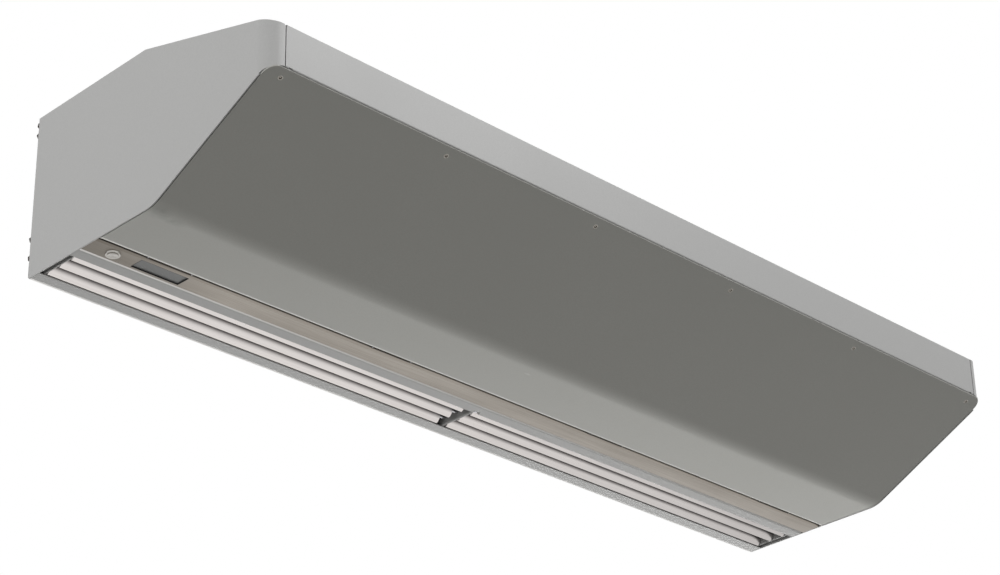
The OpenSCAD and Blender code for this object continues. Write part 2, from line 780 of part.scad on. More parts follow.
// Forward-curved double-inlet wheels
hub_r = shaft_r * 2.2;
hub_len = 26;
wheel_gap = scroll_w * 0.03;
blade_lead = 9;
function polar(r, a) = r * [cos(a), sin(a)];
function blade_side(side) =
  [for (k = [0:4])
    let (r = wheel_r - blade_deep * (1 - k / 4), a = -blade_lead * pow(k / 4, 2))
    polar(r, a + side * blade_thick / 2 / r * 180 / PI)];
module wheel(side) {
  mid = side * (blower_x + blower_end) / 2;
  wide = scroll_w - 2 * wheel_gap;
  ring_wide = blade_deep / 3;
  low = mid - wide / 2;
  at_axis() difference() {
    union() {
      for (i = [0:blades - 1])
        along_x(low, low + wide) rotate(i * 360 / blades)
          polygon(concat(blade_side(1), backwards(blade_side(-1))));
      for (x = [low, low + wide - ring_wide])
        along_x(x, x + ring_wide) difference() {
          circle(wheel_r + blade_thick);
          circle(wheel_r - blade_deep * 0.4);
        }
      bar_x(wheel_r - blade_deep * 0.4, mid - blade_thick, mid + blade_thick, 0, 0);
      bar_x(hub_r, mid - hub_len / 2, mid + hub_len / 2, 0, 0);
    }
    bar_x(shaft_r, low - over, low + wide + over, 0, 0);
    translate([mid + side * hub_len / 4, 0, 0]) cylinder(r = screw_r, h = hub_r + over, $fn = 32);
  }
}
module at_axis() {
  translate([0, axis_y, shaft_z]) children();
}
module left_wheel() {
  color("silver") wheel(-1);
}
module right_wheel() {
  color("silver") wheel(1);
}
module wheel_set_screws() {
  color("dimgray") at_axis() for (side = end_shares)
    translate([side * ((blower_x + blower_end) / 2 + hub_len / 4), 0, shaft_r]) difference() {
      cylinder(r = screw_r, h = hub_r - shaft_r, $fn = 32);
      translate([0, 0, hub_r - shaft_r - sheet]) cylinder(r = screw_r / 2, h = sheet + over, $fn = 6);
    }
}

// Motor
shell_end = motor_len / 2;
shield_end = shell_end + shield_deep;
boss_end = shield_end + boss_len;
bearing_in = boss_end - bearing_w - motor_wall;
rotor_r = motor_r * 0.56;
module motor_shaft() {
  reach = (blower_x + blower_end) / 2 + hub_len * 0.7;
  color("silver") bar_x(shaft_r, -reach, reach, axis_y, shaft_z);
}
module motor_rotor() {
  color("dimgray") difference() {
    bar_x(rotor_r, -motor_len * 0.3, motor_len * 0.3, axis_y, shaft_z);
    bar_x(shaft_r, -motor_len, motor_len, axis_y, shaft_z);
  }
}
module motor_stator() {
  color("peru") difference() {
    bar_x(motor_r - motor_wall, -motor_len * 0.32, motor_len * 0.32, axis_y, shaft_z);
    bar_x(rotor_r + shut_gap, -motor_len, motor_len, axis_y, shaft_z);
  }
}
module motor_shell() {
  vents = 10;
  color("slategray") difference() {
    bar_x(motor_r, -shell_end, shell_end, axis_y, shaft_z);
    bar_x(motor_r - motor_wall, -motor_len, motor_len, axis_y, shaft_z);
    at_axis() for (side = end_shares, i = [0:vents - 1])
      rotate([i * 360 / vents, 0, 0]) translate([side * motor_len * 0.41, 0, 0])
        translate([-motor_wall, -motor_wall * 3, 0]) cube([2 * motor_wall, motor_wall * 6, motor_r + over]);
  }
}
module shield() {
  spokes = 6;
  outline = [
    [motor_r, shell_end], [motor_r, shell_end + shield_deep / 3],
    [motor_r * 0.86, shield_end - shield_deep / 6], [boss_r, shield_end], [boss_r, boss_end],
    [bearing_r - motor_wall, boss_end],
    [bearing_r - motor_wall, bearing_in + bearing_w], [bearing_r, bearing_in + bearing_w],
    [bearing_r, bearing_in], [shaft_r + motor_wall, bearing_in],
    [shaft_r + motor_wall, bearing_in - motor_wall], [boss_r, bearing_in - motor_wall],
    [motor_r * 0.8, shield_end - shield_deep / 3],
    [motor_r - motor_wall * 2, shell_end + shield_deep / 4], [motor_r - motor_wall * 2, shell_end]
  ];
  difference() {
    turned_x(axis_y, shaft_z) polygon(outline);
    for (i = [0:spokes - 1])
      at_axis() rotate([i * 360 / spokes, 0, 0])
        translate([shell_end + shield_deep / 3, -motor_r / 9, boss_r + motor_wall * 2])
          cube([shield_deep, motor_r / 4.5, motor_r * 0.34]);
  }
}
module motor_shields() {
  color("gray") {
    shield();
    mirror([1, 0, 0]) shield();
  }
}
module motor_bearings() {
  mid = bearing_in + bearing_w / 2;
  color("lightgray") for (side = end_shares) difference() {
    bar_x(bearing_r, side * mid - bearing_w / 2, side * mid + bearing_w / 2, axis_y, shaft_z);
    bar_x(shaft_r + run_clear, -half, half, axis_y, shaft_z);
  }
}
rubber_w = boss_len * 0.8;
rubber_r = boss_r + rubber_t;
module motor_rubbers() {
  mid = boss_end - rubber_w / 2;
  color("black") for (side = end_shares) difference() {
    bar_x(rubber_r, side * mid - rubber_w / 2, side * mid + rubber_w / 2, axis_y, shaft_z);
    bar_x(boss_r, -half, half, axis_y, shaft_z);
  }
}
cradle_t = 3;
module motor_cradle() {
  high = rubber_r * 3;
  mid = boss_end - rubber_w / 2;
  cheek = [[axis_y, shaft_z - rubber_r - 4 * cradle_t], [wall_face, shaft_z - high / 2],
           [wall_face, shaft_z + high / 2], [axis_y, shaft_z + rubber_r + 4 * cradle_t]];
  color("slategray") difference() {
    union() {
      translate([-boss_end, wall_face - cradle_t, shaft_z - high / 2]) cube([2 * boss_end, cradle_t, high]);
      for (side = end_shares)
        along_x(side * mid - cradle_t / 2, side * mid + cradle_t / 2) polygon(cheek);
    }
    bar_x(rubber_r, -half, half, axis_y, shaft_z);
    translate([-shell_end, wall_face - cradle_t - over, shaft_z - high / 4])
      cube([2 * shell_end, cradle_t + 2 * over, high / 2]);
  }
}
module motor_clamps() {
  mid = boss_end - rubber_w / 2;
  ear = 4 * cradle_t;
  color("silver") for (side = end_shares) intersection() {
    along_x(side * mid - rubber_w / 3, side * mid + rubber_w / 3) difference() {
      union() {
        translate([axis_y, shaft_z]) circle(rubber_r + cradle_t / 2);
        translate([axis_y - cradle_t / 2, shaft_z - rubber_r - ear])
          square([cradle_t / 2, 2 * (rubber_r + ear)]);
      }
      translate([axis_y, shaft_z]) circle(rubber_r);
    }
    translate([-half, axis_y - height, 0]) cube([length, height, height]);
  }
}

// Run capacitor under the top panel, and its strap
can_r = 15;
can_len = 64;
can_y = axis_y + can_share * flat_top;
module can(r, from, to) {
  for (y = [can_y - can_r, can_y + can_r]) bar_x(r, from, to, y, height - sheet - can_r);
  translate([from, can_y - can_r, height - sheet - can_r - r]) cube([to - from, 2 * can_r, 2 * r]);
}
module run_capacitor() {
  color("whitesmoke") can(can_r, -can_len / 2, can_len / 2);
}
module capacitor_strap() {
  wide = can_len / 5;
  color("silver") intersection() {
    difference() {
      union() {
        can(can_r + sheet, -wide / 2, wide / 2);
        translate([-wide / 2, can_y - 2.5 * can_r, height - 2 * sheet]) cube([wide, 5 * can_r, sheet]);
      }
      can(can_r, -can_len, can_len);
    }
    translate([-half, -depth, 0]) cube([length, depth, height - sheet]);
  }
}

// Electrical box at the left end
box_x = -inside + flange_w + 2 * panel_gap;
box_top = height - sheet;
box_front = wall_face - box_deep;
entry_x = box_x + box_len / 2;
entry_y = wall_face - box_deep / 2;
module electrical_box() {
  color("lightgray") difference() {
    translate([box_x, box_front, box_top - box_high]) cube([box_len, box_deep, box_high]);
    translate([box_x + sheet, box_front + sheet, box_top - box_high - over])
      cube([box_len - 2 * sheet, box_deep - 2 * sheet, box_high - sheet + over]);
    translate([entry_x, entry_y, height]) drill(entry_r * 1.15, sheet * 4);
  }
}
module box_lid() {
  low = box_top - box_high;
  color("lightgray") difference() {
    translate([box_x - sheet, box_front - sheet, low - sheet])
      cube([box_len + 2 * sheet, box_deep + sheet, flange_w]);
    translate([box_x, box_front, low]) cube([box_len, box_deep + over, height]);
  }
}
module terminal_block() {
  ways = 5;
  pitch = 14;
  deep = 22;
  x = box_x + sheet + flange_w / 2;
  z = box_top - box_high / 3;
  color("ivory") difference() {
    translate([x, wall_face - sheet - deep, z]) cube([ways * pitch, deep, 2 * pitch]);
    for (i = [0:ways - 1]) {
      translate([x + i * pitch + sheet, wall_face - sheet - deep - over, z + pitch + sheet])
        cube([pitch - 2 * sheet, deep / 2 + over, pitch]);
      translate([x + (i + 0.5) * pitch, wall_face - sheet - deep - over, z + pitch / 2])
        rotate([-90, 0, 0]) cylinder(r = pitch / 4, h = deep / 2 + over);
    }
  }
}
module motor_relay() {
  size = [box_len * 0.31, box_deep * 0.32, box_high * 0.33];
  x = box_x + box_len - sheet - size.x - flange_w / 2;
  z = box_top - box_high + flange_w * 2;
  color("darkslategray") translate([x, wall_face - sheet - size.y, z]) union() {
    cube(size);
    translate([size.x * 0.15, -size.y * 0.2, size.z * 0.3]) cube([size.x * 0.7, size.y * 0.2, size.z * 0.4]);
  }
}

// Push button at the left end of the strip
strip_mid = (rail_front + strip_front) / 2;
button_place = [button_x - half, strip_mid, 0];
neck_r = button_r + ring_w / 2;
body_low = sheet * 6;
body_high = strip_leg + 2 * button_r;
module control_strip() {
  path = [[rail_front - sheet / 2, strip_leg], [rail_front - sheet / 2, sheet / 2],
          [strip_front + sheet / 2, sheet / 2], [strip_front + sheet / 2, strip_leg]];
  color("tan") difference() {
    along_x(-inside, inside) polygon(strip(path, [fold_r, fold_r]));
    translate(button_place - [0, 0, over]) cylinder(r = neck_r, h = sheet + 2 * over);
    translate([window_x - half, strip_mid - window_wide / 2, -over])
      cube([window_len, window_wide, sheet + 2 * over]);
  }
}
module button_ring() {
  color("silver") translate(button_place) difference() {
    union() {
      translate([0, 0, -ring_out])
        cylinder(r1 = button_r + ring_w * 0.8, r2 = button_r + ring_w, h = ring_out);
      cylinder(r = neck_r, h = body_low);
    }
    translate([0, 0, -over - ring_out])
      cylinder(r = button_r + run_clear, h = body_low + ring_out + 2 * over);
  }
}
module button_nut() {
  color("silver") translate(button_place + [0, 0, sheet]) difference() {
    cylinder(r = neck_r * 1.45, h = sheet * 2, $fn = 6);
    translate([0, 0, -over]) cylinder(r = neck_r, h = height);
  }
}
module power_button() {
  face = -ring_out - button_travel / 2;
  top = body_low - button_travel * 1.5;
  color("whitesmoke") translate(button_place) difference() {
    translate([0, 0, face]) cylinder(r = button_r, h = top - face);
    translate([0, 0, face - button_r * 2]) sphere(r = norm([button_r * 2, button_r * 0.75]), $fn = 64);
  }
}
module switch_body() {
  color("darkslategray") translate(button_place) union() {
    translate([0, 0, body_low]) cylinder(r = neck_r, h = body_high - body_low);
    translate([0, 0, body_high]) for (x = [-button_r / 2, button_r / 2])
      translate([x - sheet / 2, -sheet, 0]) cube([sheet, 2 * sheet, sheet * 4]);
  }
}

// Display behind its window in the strip
frame_t = 2;
module display_module() {
  color("black") translate([window_x - half, strip_mid - window_wide / 2, sheet]) difference() {
    translate([-frame_t, -frame_t, 0])
      cube([window_len + 2 * frame_t, window_wide + 2 * frame_t, window_deep + 4 * frame_t]);
    translate([0, 0, -over]) cube([window_len, window_wide, window_deep + over]);
  }
}
module display_window() {
  color("dimgray") translate([window_x - half, strip_mid - window_wide / 2, sheet + window_deep - frame_t])
    cube([window_len, window_wide, frame_t]);
}

// Fixings
module suspension_nuts() {
  color("darkgray") at_suspension() translate([0, 0, -sheet - hang_r * 1.7]) difference() {
    cylinder(r = hang_r * 1.85, h = hang_r * 1.7, $fn = 6);
    translate([0, 0, -over]) cylinder(r = hang_r, h = height);
  }
}
module cabinet_screws() {
  color("dimgray") {
    at_back_screws() hex_screw();
    at_top_screws() pan_screw();
    at_grille_screws() pan_screw();
  }
}
module hex_screw() {
  cylinder(r = washer_r, h = head_h * 0.2);
  cylinder(r = washer_r * 0.88, h = head_h, $fn = 6);
  translate([0, 0, -sheet * 4]) cylinder(r = screw_r, h = sheet * 4 + head_h / 2);
}

module pan_screw() {
  pan_h = head_h * 0.4;
  difference() {
    union() {
      cylinder(r1 = washer_r * 0.85, r2 = washer_r * 0.6, h = pan_h);
      translate([0, 0, -sheet * 4]) cylinder(r = screw_r, h = sheet * 4 + pan_h / 2);
    }
    translate([0, 0, pan_h / 2]) cylinder(r = screw_r * 0.8, h = pan_h, $fn = 6);
  }
}

module placed() {
  translate([0, 0, -height / 2]) children();
}
placed() back_panel();
placed() top_panel();
placed() intake_grille();
placed() left_end_panel();
placed() right_end_panel();
placed() front_fascia();
placed() access_cover();
placed() cover_screws();
placed() hinge_leaves();
placed() cover_leaves();
placed() hinge_pins();
placed() control_strip();
placed() nozzle_front_rail();
placed() nozzle_divider();
placed() divider_screw();
placed() left_vane_bracket();
placed() right_vane_bracket();
placed() plenum_wall();
placed() left_scroll();
placed() right_scroll();
placed() left_inlets();
placed() right_inlets();
placed() left_wheel();
placed() right_wheel();
placed() wheel_set_screws();
placed() motor_shaft();
placed() motor_rotor();
placed() motor_stator();
placed() motor_shell();
placed() motor_shields();
placed() motor_bearings();
placed() motor_rubbers();
placed() motor_cradle();
placed() motor_clamps();
placed() run_capacitor();
placed() capacitor_strap();
placed() electrical_box();
placed() box_lid();
placed() terminal_block();
placed() motor_relay();
placed() power_button();
placed() button_ring();
placed() button_nut();
placed() switch_body();
placed() display_window();
placed() display_module();
placed() suspension_nuts();
placed() cabinet_screws();
for (row = [0:2]) {
  placed() vane(-1, row);
  placed() vane(1, row);
  placed() vane_pins(-1, row);
  placed() vane_pins(1, row);
}
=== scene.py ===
import json
import math

import bmesh
import bpy
from mathutils import Matrix, Vector


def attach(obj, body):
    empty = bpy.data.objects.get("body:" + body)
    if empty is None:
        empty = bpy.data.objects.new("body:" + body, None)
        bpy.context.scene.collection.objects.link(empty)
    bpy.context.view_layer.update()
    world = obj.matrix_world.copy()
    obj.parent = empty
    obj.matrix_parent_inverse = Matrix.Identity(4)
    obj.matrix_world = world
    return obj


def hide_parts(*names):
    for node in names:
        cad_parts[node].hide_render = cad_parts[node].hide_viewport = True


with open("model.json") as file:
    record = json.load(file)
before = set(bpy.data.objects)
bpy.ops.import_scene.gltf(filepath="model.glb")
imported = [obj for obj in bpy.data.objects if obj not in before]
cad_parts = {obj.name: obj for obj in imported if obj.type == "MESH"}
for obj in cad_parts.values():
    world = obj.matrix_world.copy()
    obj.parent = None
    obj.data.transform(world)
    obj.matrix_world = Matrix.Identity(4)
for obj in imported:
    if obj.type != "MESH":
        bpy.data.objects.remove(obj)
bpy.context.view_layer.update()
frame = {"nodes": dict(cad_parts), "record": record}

# Air curtain: a slim wedge-fronted cabinet seen from below, with a vaned outlet beside the wall.
# Metres throughout, in the CAD frame: X to the right, the wall at y = 0, Z up from mid-height.

mm = 0.001
nodes = frame["nodes"]
record = frame["record"]
bodyOf = {node: body for body, members in record["behaviour"]["bodies"].items() for node in members}
scene = bpy.context.scene
scene.view_settings.view_transform = "Standard"

# Sizes of the cabinet that several pieces share; heights are measured from the underside
cabinet = {
    "length": 1250 * mm, "depth": 422 * mm, "height": 212 * mm, "sheet": 1.5 * mm,
    "flatTop": 202 * mm,  # how far the level part of the top comes forward from the wall
    "slopeEnd": 149 * mm,  # height of the fascia's upper edge
    "fasciaLow": 94 * mm,  # height of the fascia's lower edge
    "flatUnder": 229 * mm,  # how far the level part of the underside comes forward
}
halfLength = cabinet["length"] / 2
insideHalf = halfLength - cabinet["sheet"]
lowest = -cabinet["height"] / 2
topSlope = math.atan2(cabinet["height"] - cabinet["slopeEnd"], cabinet["depth"] - cabinet["flatTop"])
underSlope = math.atan2(cabinet["fasciaLow"], cabinet["depth"] - cabinet["flatUnder"])

# Camera at the photograph's angle, for an image of 1000 x 575
photoView = {
    "place": (-2.0656, -2.1999, -1.4732),
    "right": (0.71467, -0.69921, -0.01873),
    "up": (-0.31175, -0.34239, 0.88634),
    "ahead": (0.62614, 0.62760, 0.46267),
    "lens": 92.786, "sensor": 36.0, "nearest": 0.05, "farthest": 60,
}


def placeCamera(settings):
    data = bpy.data.cameras.new("photoCamera")
    data.lens = settings["lens"]
    data.sensor_width = settings["sensor"]
    data.clip_start = settings["nearest"]
    data.clip_end = settings["farthest"]
    eye = bpy.data.objects.new("photoCamera", data)
    scene.collection.objects.link(eye)
    turn = Matrix((settings["right"], settings["up"], [-v for v in settings["ahead"]])).transposed()
    eye.matrix_world = Matrix.Translation(settings["place"]) @ turn.to_4x4()
    scene.camera = eye


placeCamera(photoView)
print("camera placed")


# Colours and nodes
def linear(hexText):  # a hex colour as linear light, by the sRGB curve
    shares = [int(hexText[i:i + 2], 16) / 255 for i in (1, 3, 5)]
    return tuple(s / 12.92 if s <= 0.04045 else ((s + 0.055) / 1.055) ** 2.4 for s in shares) + (1.0,)


def addNode(tree, kind, wires=None, stops=(), **settings):
    made = tree.nodes.new(kind)
    for key, value in settings.items():
        setattr(made, key, value)
    for stop, (share, shade) in enumerate(stops):  # where each tone of a colour ramp stands
        made.color_ramp.elements[stop].position = share
        made.color_ramp.elements[stop].color = linear(shade)
    for name, value in (wires or {}).items():
        for part in value if isinstance(value, list) else [value]:  # a list gives one socket several links
            if isinstance(part, bpy.types.NodeSocket):
                tree.links.new(part, made.inputs[name])
            else:
                made.inputs[name].default_value = part
    return made


def startMaterial(name):
    material = bpy.data.materials.new(name)
    material.use_nodes = True
    material.node_tree.nodes.clear()
    return material, material.node_tree


def closeMaterial(tree, shader):
    addNode(tree, "ShaderNodeOutputMaterial", {"Surface": shader.outputs[0]})


# How each family of finish is worked: where its two tones lie in the pattern, how far its gloss strays from
# the mean, and its relief
powder = {"toneSpread": (0.36, 0.62), "glossSpread": 0.04, "relief": 0.35, "smudgeFade": (1.0, 0.2),
          "highlightAbove": (2.4 * mm, 2 * mm)}
brush = {"toneSpread": (0.3, 0.7), "glossSpread": 0.05, "reliefShare": 0.25, "breakUp": 0.65}
spangle = {"toneSpread": (0.0, 1.0), "glossSpread": 0.08, "crystalReach": 0.6}
mould = {"toneSpread": (0.3, 0.7), "glossShare": 0.15, "reliefShare": 1 / 6}


def powderCoat(name, look):  # baked polyester powder: a satin tone, a fine orange peel, a faint cloudiness
    material, tree = startMaterial(name)
    place = addNode(tree, "ShaderNodeTexCoord").outputs["Object"]
    grain = addNode(tree, "ShaderNodeTexNoise", {"Vector": place, "Scale": 1 / look["grain"], "Detail": 3.0})
    cloud = addNode(tree, "ShaderNodeTexNoise", {"Vector": place, "Scale": 1 / look["cloud"], "Detail": 2.0})
    speckle = addNode(tree, "ShaderNodeValToRGB", {"Fac": grain.outputs["Fac"]},
                      stops=zip(powder["toneSpread"], look["tones"]))
    tone = addNode(tree, "ShaderNodeMix", {"Factor": cloud.outputs["Fac"], "A": speckle.outputs["Color"],
                                           "B": linear(look["mid"])}, data_type="RGBA")
    colour = tone.outputs["Result"]
    for smudge in look.get("smudges", []):  # where hands have smudged the finish
        offset = addNode(tree, "ShaderNodeVectorMath", {0: place, 1: smudge["place"]}, operation="SUBTRACT")
        perReach = tuple(1 / size for size in smudge["size"])
        shrunk = addNode(tree, "ShaderNodeVectorMath", {0: offset.outputs[0], 1: perReach},
                         operation="MULTIPLY")
        reach = addNode(tree, "ShaderNodeVectorMath", {0: shrunk.outputs[0]}, operation="LENGTH")
        fade = addNode(tree, "ShaderNodeMapRange", {
            "Value": reach.outputs["Value"], "From Min": powder["smudgeFade"][0],
            "From Max": powder["smudgeFade"][1], "To Max": smudge["strength"]})
        broken = addNode(tree, "ShaderNodeTexNoise", {"Vector": place, "Scale": 1 / smudge["grain"],
                                                     "Detail": 2.0})
        amount = addNode(tree, "ShaderNodeMath", {0: fade.outputs["Result"], 1: broken.outputs["Fac"]},
                         operation="MULTIPLY")
        smudgedAndLit = addNode(tree, "ShaderNodeMix", {"Factor": amount.outputs[0], "A": colour,
                                                 "B": linear(smudge["tone"])}, data_type="RGBA")
        colour = smudgedAndLit.outputs["Result"]
    gloss = addNode(tree, "ShaderNodeMapRange", {
        "Value": cloud.outputs["Fac"], "To Min": look["rough"] - powder["glossSpread"],
        "To Max": look["rough"] + powder["glossSpread"]})
    peel = addNode(tree, "ShaderNodeTexNoise", {"Vector": place, "Scale": 1 / look["peel"], "Detail": 1.0})
    bump = addNode(tree, "ShaderNodeBump", {"Height": peel.outputs["Fac"], "Strength": powder["relief"],
                                            "Distance": look["peelHeight"]})
    highlightShare = 0.0
    if "paintedHighlight" in look:  # painted highlight: a bright metallic line along a folded edge where the fold catches the light, fading toward the right
        paintedHighlight = look["paintedHighlight"]
        axes = addNode(tree, "ShaderNodeSeparateXYZ", {"Vector": place})
        across = addNode(tree, "ShaderNodeMath", {0: axes.outputs["Y"], 1: paintedHighlight["place"]},
                         operation="SUBTRACT")
        across = addNode(tree, "ShaderNodeMath", {0: across.outputs[0]}, operation="ABSOLUTE")
        near = addNode(tree, "ShaderNodeMapRange", {"Value": across.outputs[0], "From Min": paintedHighlight["width"],
                                                    "From Max": paintedHighlight["width"] / 2})
        low = addNode(tree, "ShaderNodeMapRange", {
            "Value": axes.outputs["Z"], "From Min": lowest + powder["highlightAbove"][0],
            "From Max": lowest + powder["highlightAbove"][1]})
        along = addNode(tree, "ShaderNodeMapRange", {
            "Value": axes.outputs["X"], "From Min": -halfLength, "From Max": halfLength,
            "To Min": paintedHighlight["strong"], "To Max": paintedHighlight["weak"]})
        highlightShare = addNode(tree, "ShaderNodeMath", {0: near.outputs["Result"], 1: low.outputs["Result"]},
                       operation="MULTIPLY")
        highlightShare = addNode(tree, "ShaderNodeMath", {0: highlightShare.outputs[0], 1: along.outputs["Result"]},
                       operation="MULTIPLY").outputs[0]
        smudgedAndLit = addNode(tree, "ShaderNodeMix", {"Factor": highlightShare, "A": colour, "B": linear(paintedHighlight["tone"])},
                         data_type="RGBA")
        colour = smudgedAndLit.outputs["Result"]
    shader = addNode(tree, "ShaderNodeBsdfPrincipled", {
        "Base Color": colour, "Metallic": highlightShare, "Roughness": gloss.outputs["Result"],
        "Normal": bump.outputs["Normal"]})
    closeMaterial(tree, shader)
    return material


def brushedMetal(name, look):  # rolled, drawn, ground or brushed metal: fine lines along the given axis
    material, tree = startMaterial(name)
    place = addNode(tree, "ShaderNodeTexCoord").outputs["Object"]
    along = [1 / look["lineWidth"]] * 3
    along[look["axis"]] = 1 / look["lineLength"]
    spread = addNode(tree, "ShaderNodeMapping", {"Vector": place, "Scale": tuple(along)})
    lines = addNode(tree, "ShaderNodeTexNoise", {"Vector": spread.outputs["Vector"], "Scale": 1.0,
                                                "Detail": 4.0, "Roughness": brush["breakUp"]})
    cloud = addNode(tree, "ShaderNodeTexNoise", {"Vector": place, "Scale": 1 / look["cloud"], "Detail": 3.0})
    tone = addNode(tree, "ShaderNodeValToRGB", {"Fac": lines.outputs["Fac"]},
                   stops=zip(brush["toneSpread"], look["tones"]))
    colour = tone.outputs["Color"]
    if "paintedShade" in look:  # painted shade: a darker tone above a height, and toward one end
        paintedShade = look["paintedShade"]
        axes = addNode(tree, "ShaderNodeSeparateXYZ", {"Vector": place})
        shadeAbove = addNode(tree, "ShaderNodeMapRange", {
            "Value": axes.outputs["Z"], "From Min": lowest + paintedShade["above"][0],
            "From Max": lowest + paintedShade["above"][1]}, interpolation_type="SMOOTHSTEP")
        shadeEndward = addNode(tree, "ShaderNodeMapRange", {
            "Value": axes.outputs["X"], "From Min": paintedShade["toward"][0], "From Max": paintedShade["toward"][1],
            "To Max": paintedShade["atEnd"]})
        amount = addNode(tree, "ShaderNodeMath", {0: shadeAbove.outputs["Result"], 1: shadeEndward.outputs["Result"]},
                         operation="MAXIMUM")
        shadedTone = addNode(tree, "ShaderNodeMix", {"Factor": amount.outputs[0], "A": colour,
                                                 "B": linear(paintedShade["tone"])}, data_type="RGBA")
        colour = shadedTone.outputs["Result"]
    rough = addNode(tree, "ShaderNodeMapRange", {
        "Value": cloud.outputs["Fac"], "From Min": 0.3, "From Max": 0.7,
        "To Min": look["rough"] - brush["glossSpread"], "To Max": look["rough"] + brush["glossSpread"]})
    bump = addNode(tree, "ShaderNodeBump", {"Height": lines.outputs["Fac"], "Strength": look["bump"],
                                            "Distance": look["lineWidth"] * brush["reliefShare"]})
    shader = addNode(tree, "ShaderNodeBsdfPrincipled", {
        "Base Color": colour, "Metallic": 1.0, "Roughness": rough.outputs["Result"],
        "Anisotropic": look["anisotropic"], "Normal": bump.outputs["Normal"]})
    closeMaterial(tree, shader)
    return material


def spangledZinc(name, look):  # hot-dip galvanised sheet: dull crystals about a centimetre across
    material, tree = startMaterial(name)
    place = addNode(tree, "ShaderNodeTexCoord").outputs["Object"]
    crystal = addNode(tree, "ShaderNodeTexVoronoi", {"Vector": place, "Scale": 1 / look["crystal"]})
    tone = addNode(tree, "ShaderNodeValToRGB", {"Fac": crystal.outputs["Color"]},
                   stops=zip(spangle["toneSpread"], look["tones"]))
    rough = addNode(tree, "ShaderNodeMapRange", {
        "Value": crystal.outputs["Distance"], "From Max": spangle["crystalReach"],
        "To Min": look["rough"] - spangle["glossSpread"], "To Max": look["rough"] + spangle["glossSpread"]})
    shader = addNode(tree, "ShaderNodeBsdfPrincipled", {
        "Base Color": tone.outputs["Color"], "Metallic": 1.0, "Roughness": rough.outputs["Result"]})
    closeMaterial(tree, shader)
    return material


def mouldedSurface(name, look):  # plastic, rubber, enamel and polished trim: a fine even grain
    material, tree = startMaterial(name)
    place = addNode(tree, "ShaderNodeTexCoord").outputs["Object"]
    grain = addNode(tree, "ShaderNodeTexNoise", {"Vector": place, "Scale": 1 / look["grain"], "Detail": 2.0})
    tone = addNode(tree, "ShaderNodeValToRGB", {"Fac": grain.outputs["Fac"]},
                   stops=zip(mould["toneSpread"], look["tones"]))
    rough = addNode(tree, "ShaderNodeMapRange", {
        "Value": grain.outputs["Fac"], "From Min": 0.3, "From Max": 0.7,
        "To Min": look["rough"] * (1 - mould["glossShare"]),
        "To Max": look["rough"] * (1 + mould["glossShare"])})
    bump = addNode(tree, "ShaderNodeBump", {"Height": grain.outputs["Fac"], "Strength": look["bump"],
                                            "Distance": look["grain"] * mould["reliefShare"]})
    shader = addNode(tree, "ShaderNodeBsdfPrincipled", {
        "Base Color": tone.outputs["Color"], "Metallic": look["metallic"],
        "Roughness": rough.outputs["Result"], "Normal": bump.outputs["Normal"]})
    closeMaterial(tree, shader)
    return material


# Powder paints. The real grain and orange peel are some 0.3 mm across, too fine for the picture: they are
# drawn at 1.6 mm, as coarse as they need to show.
# Tone of the painted highlights along folded edges
paintedHighlightTone = "#e2e0dd"
shellPaint = {"tones": ("#b0b0af", "#b7b7b6"), "mid": "#b3b3b2", "grain": 1.6 * mm, "cloud": 180 * mm,
              "peel": 1.6 * mm, "peelHeight": 0.03 * mm, "rough": 0.42}
coverPaint = dict(
    shellPaint, tones=("#acaca7", "#b3b3ae"), mid="#afafaa",
    paintedHighlight={"place": -134.4 * mm, "width": 2.4 * mm, "strong": 0.7, "weak": 0.45, "tone": paintedHighlightTone},
    smudges=[
        {"place": (-611 * mm, -222 * mm, lowest), "size": (19 * mm, 15 * mm, 30 * mm), "grain": 8 * mm,
         "strength": 1.1, "tone": "#8f8f8a"},
        {"place": (-588 * mm, -216 * mm, lowest), "size": (20 * mm, 8 * mm, 30 * mm), "grain": 6 * mm,
         "strength": 1.1, "tone": "#8f8f8a"},
        {"place": (-30 * mm, -204 * mm, lowest), "size": (7 * mm, 2.2 * mm, 3 * mm), "grain": 2.5 * mm,
         "strength": 0.9, "tone": "#d2d2cd"},
    ])
railPaint = dict(
    shellPaint, peelHeight=0.008 * mm,
    paintedHighlight={"place": -96.6 * mm, "width": 1.9 * mm, "strong": 0.9, "weak": 0.3, "tone": paintedHighlightTone})
# Painted light: the back panel's coat is a lighter copy of the shell's, for the brighter light on its
# underside flange, with a painted highlight along its fold
lighterBackPaint = dict(
    shellPaint, tones=("#bababa", "#c2c2c1"), mid="#bebebd", peelHeight=0.006 * mm,
    paintedHighlight={"place": -2.6 * mm, "width": 2.2 * mm, "strong": 0.9, "weak": 0.5, "tone": paintedHighlightTone})

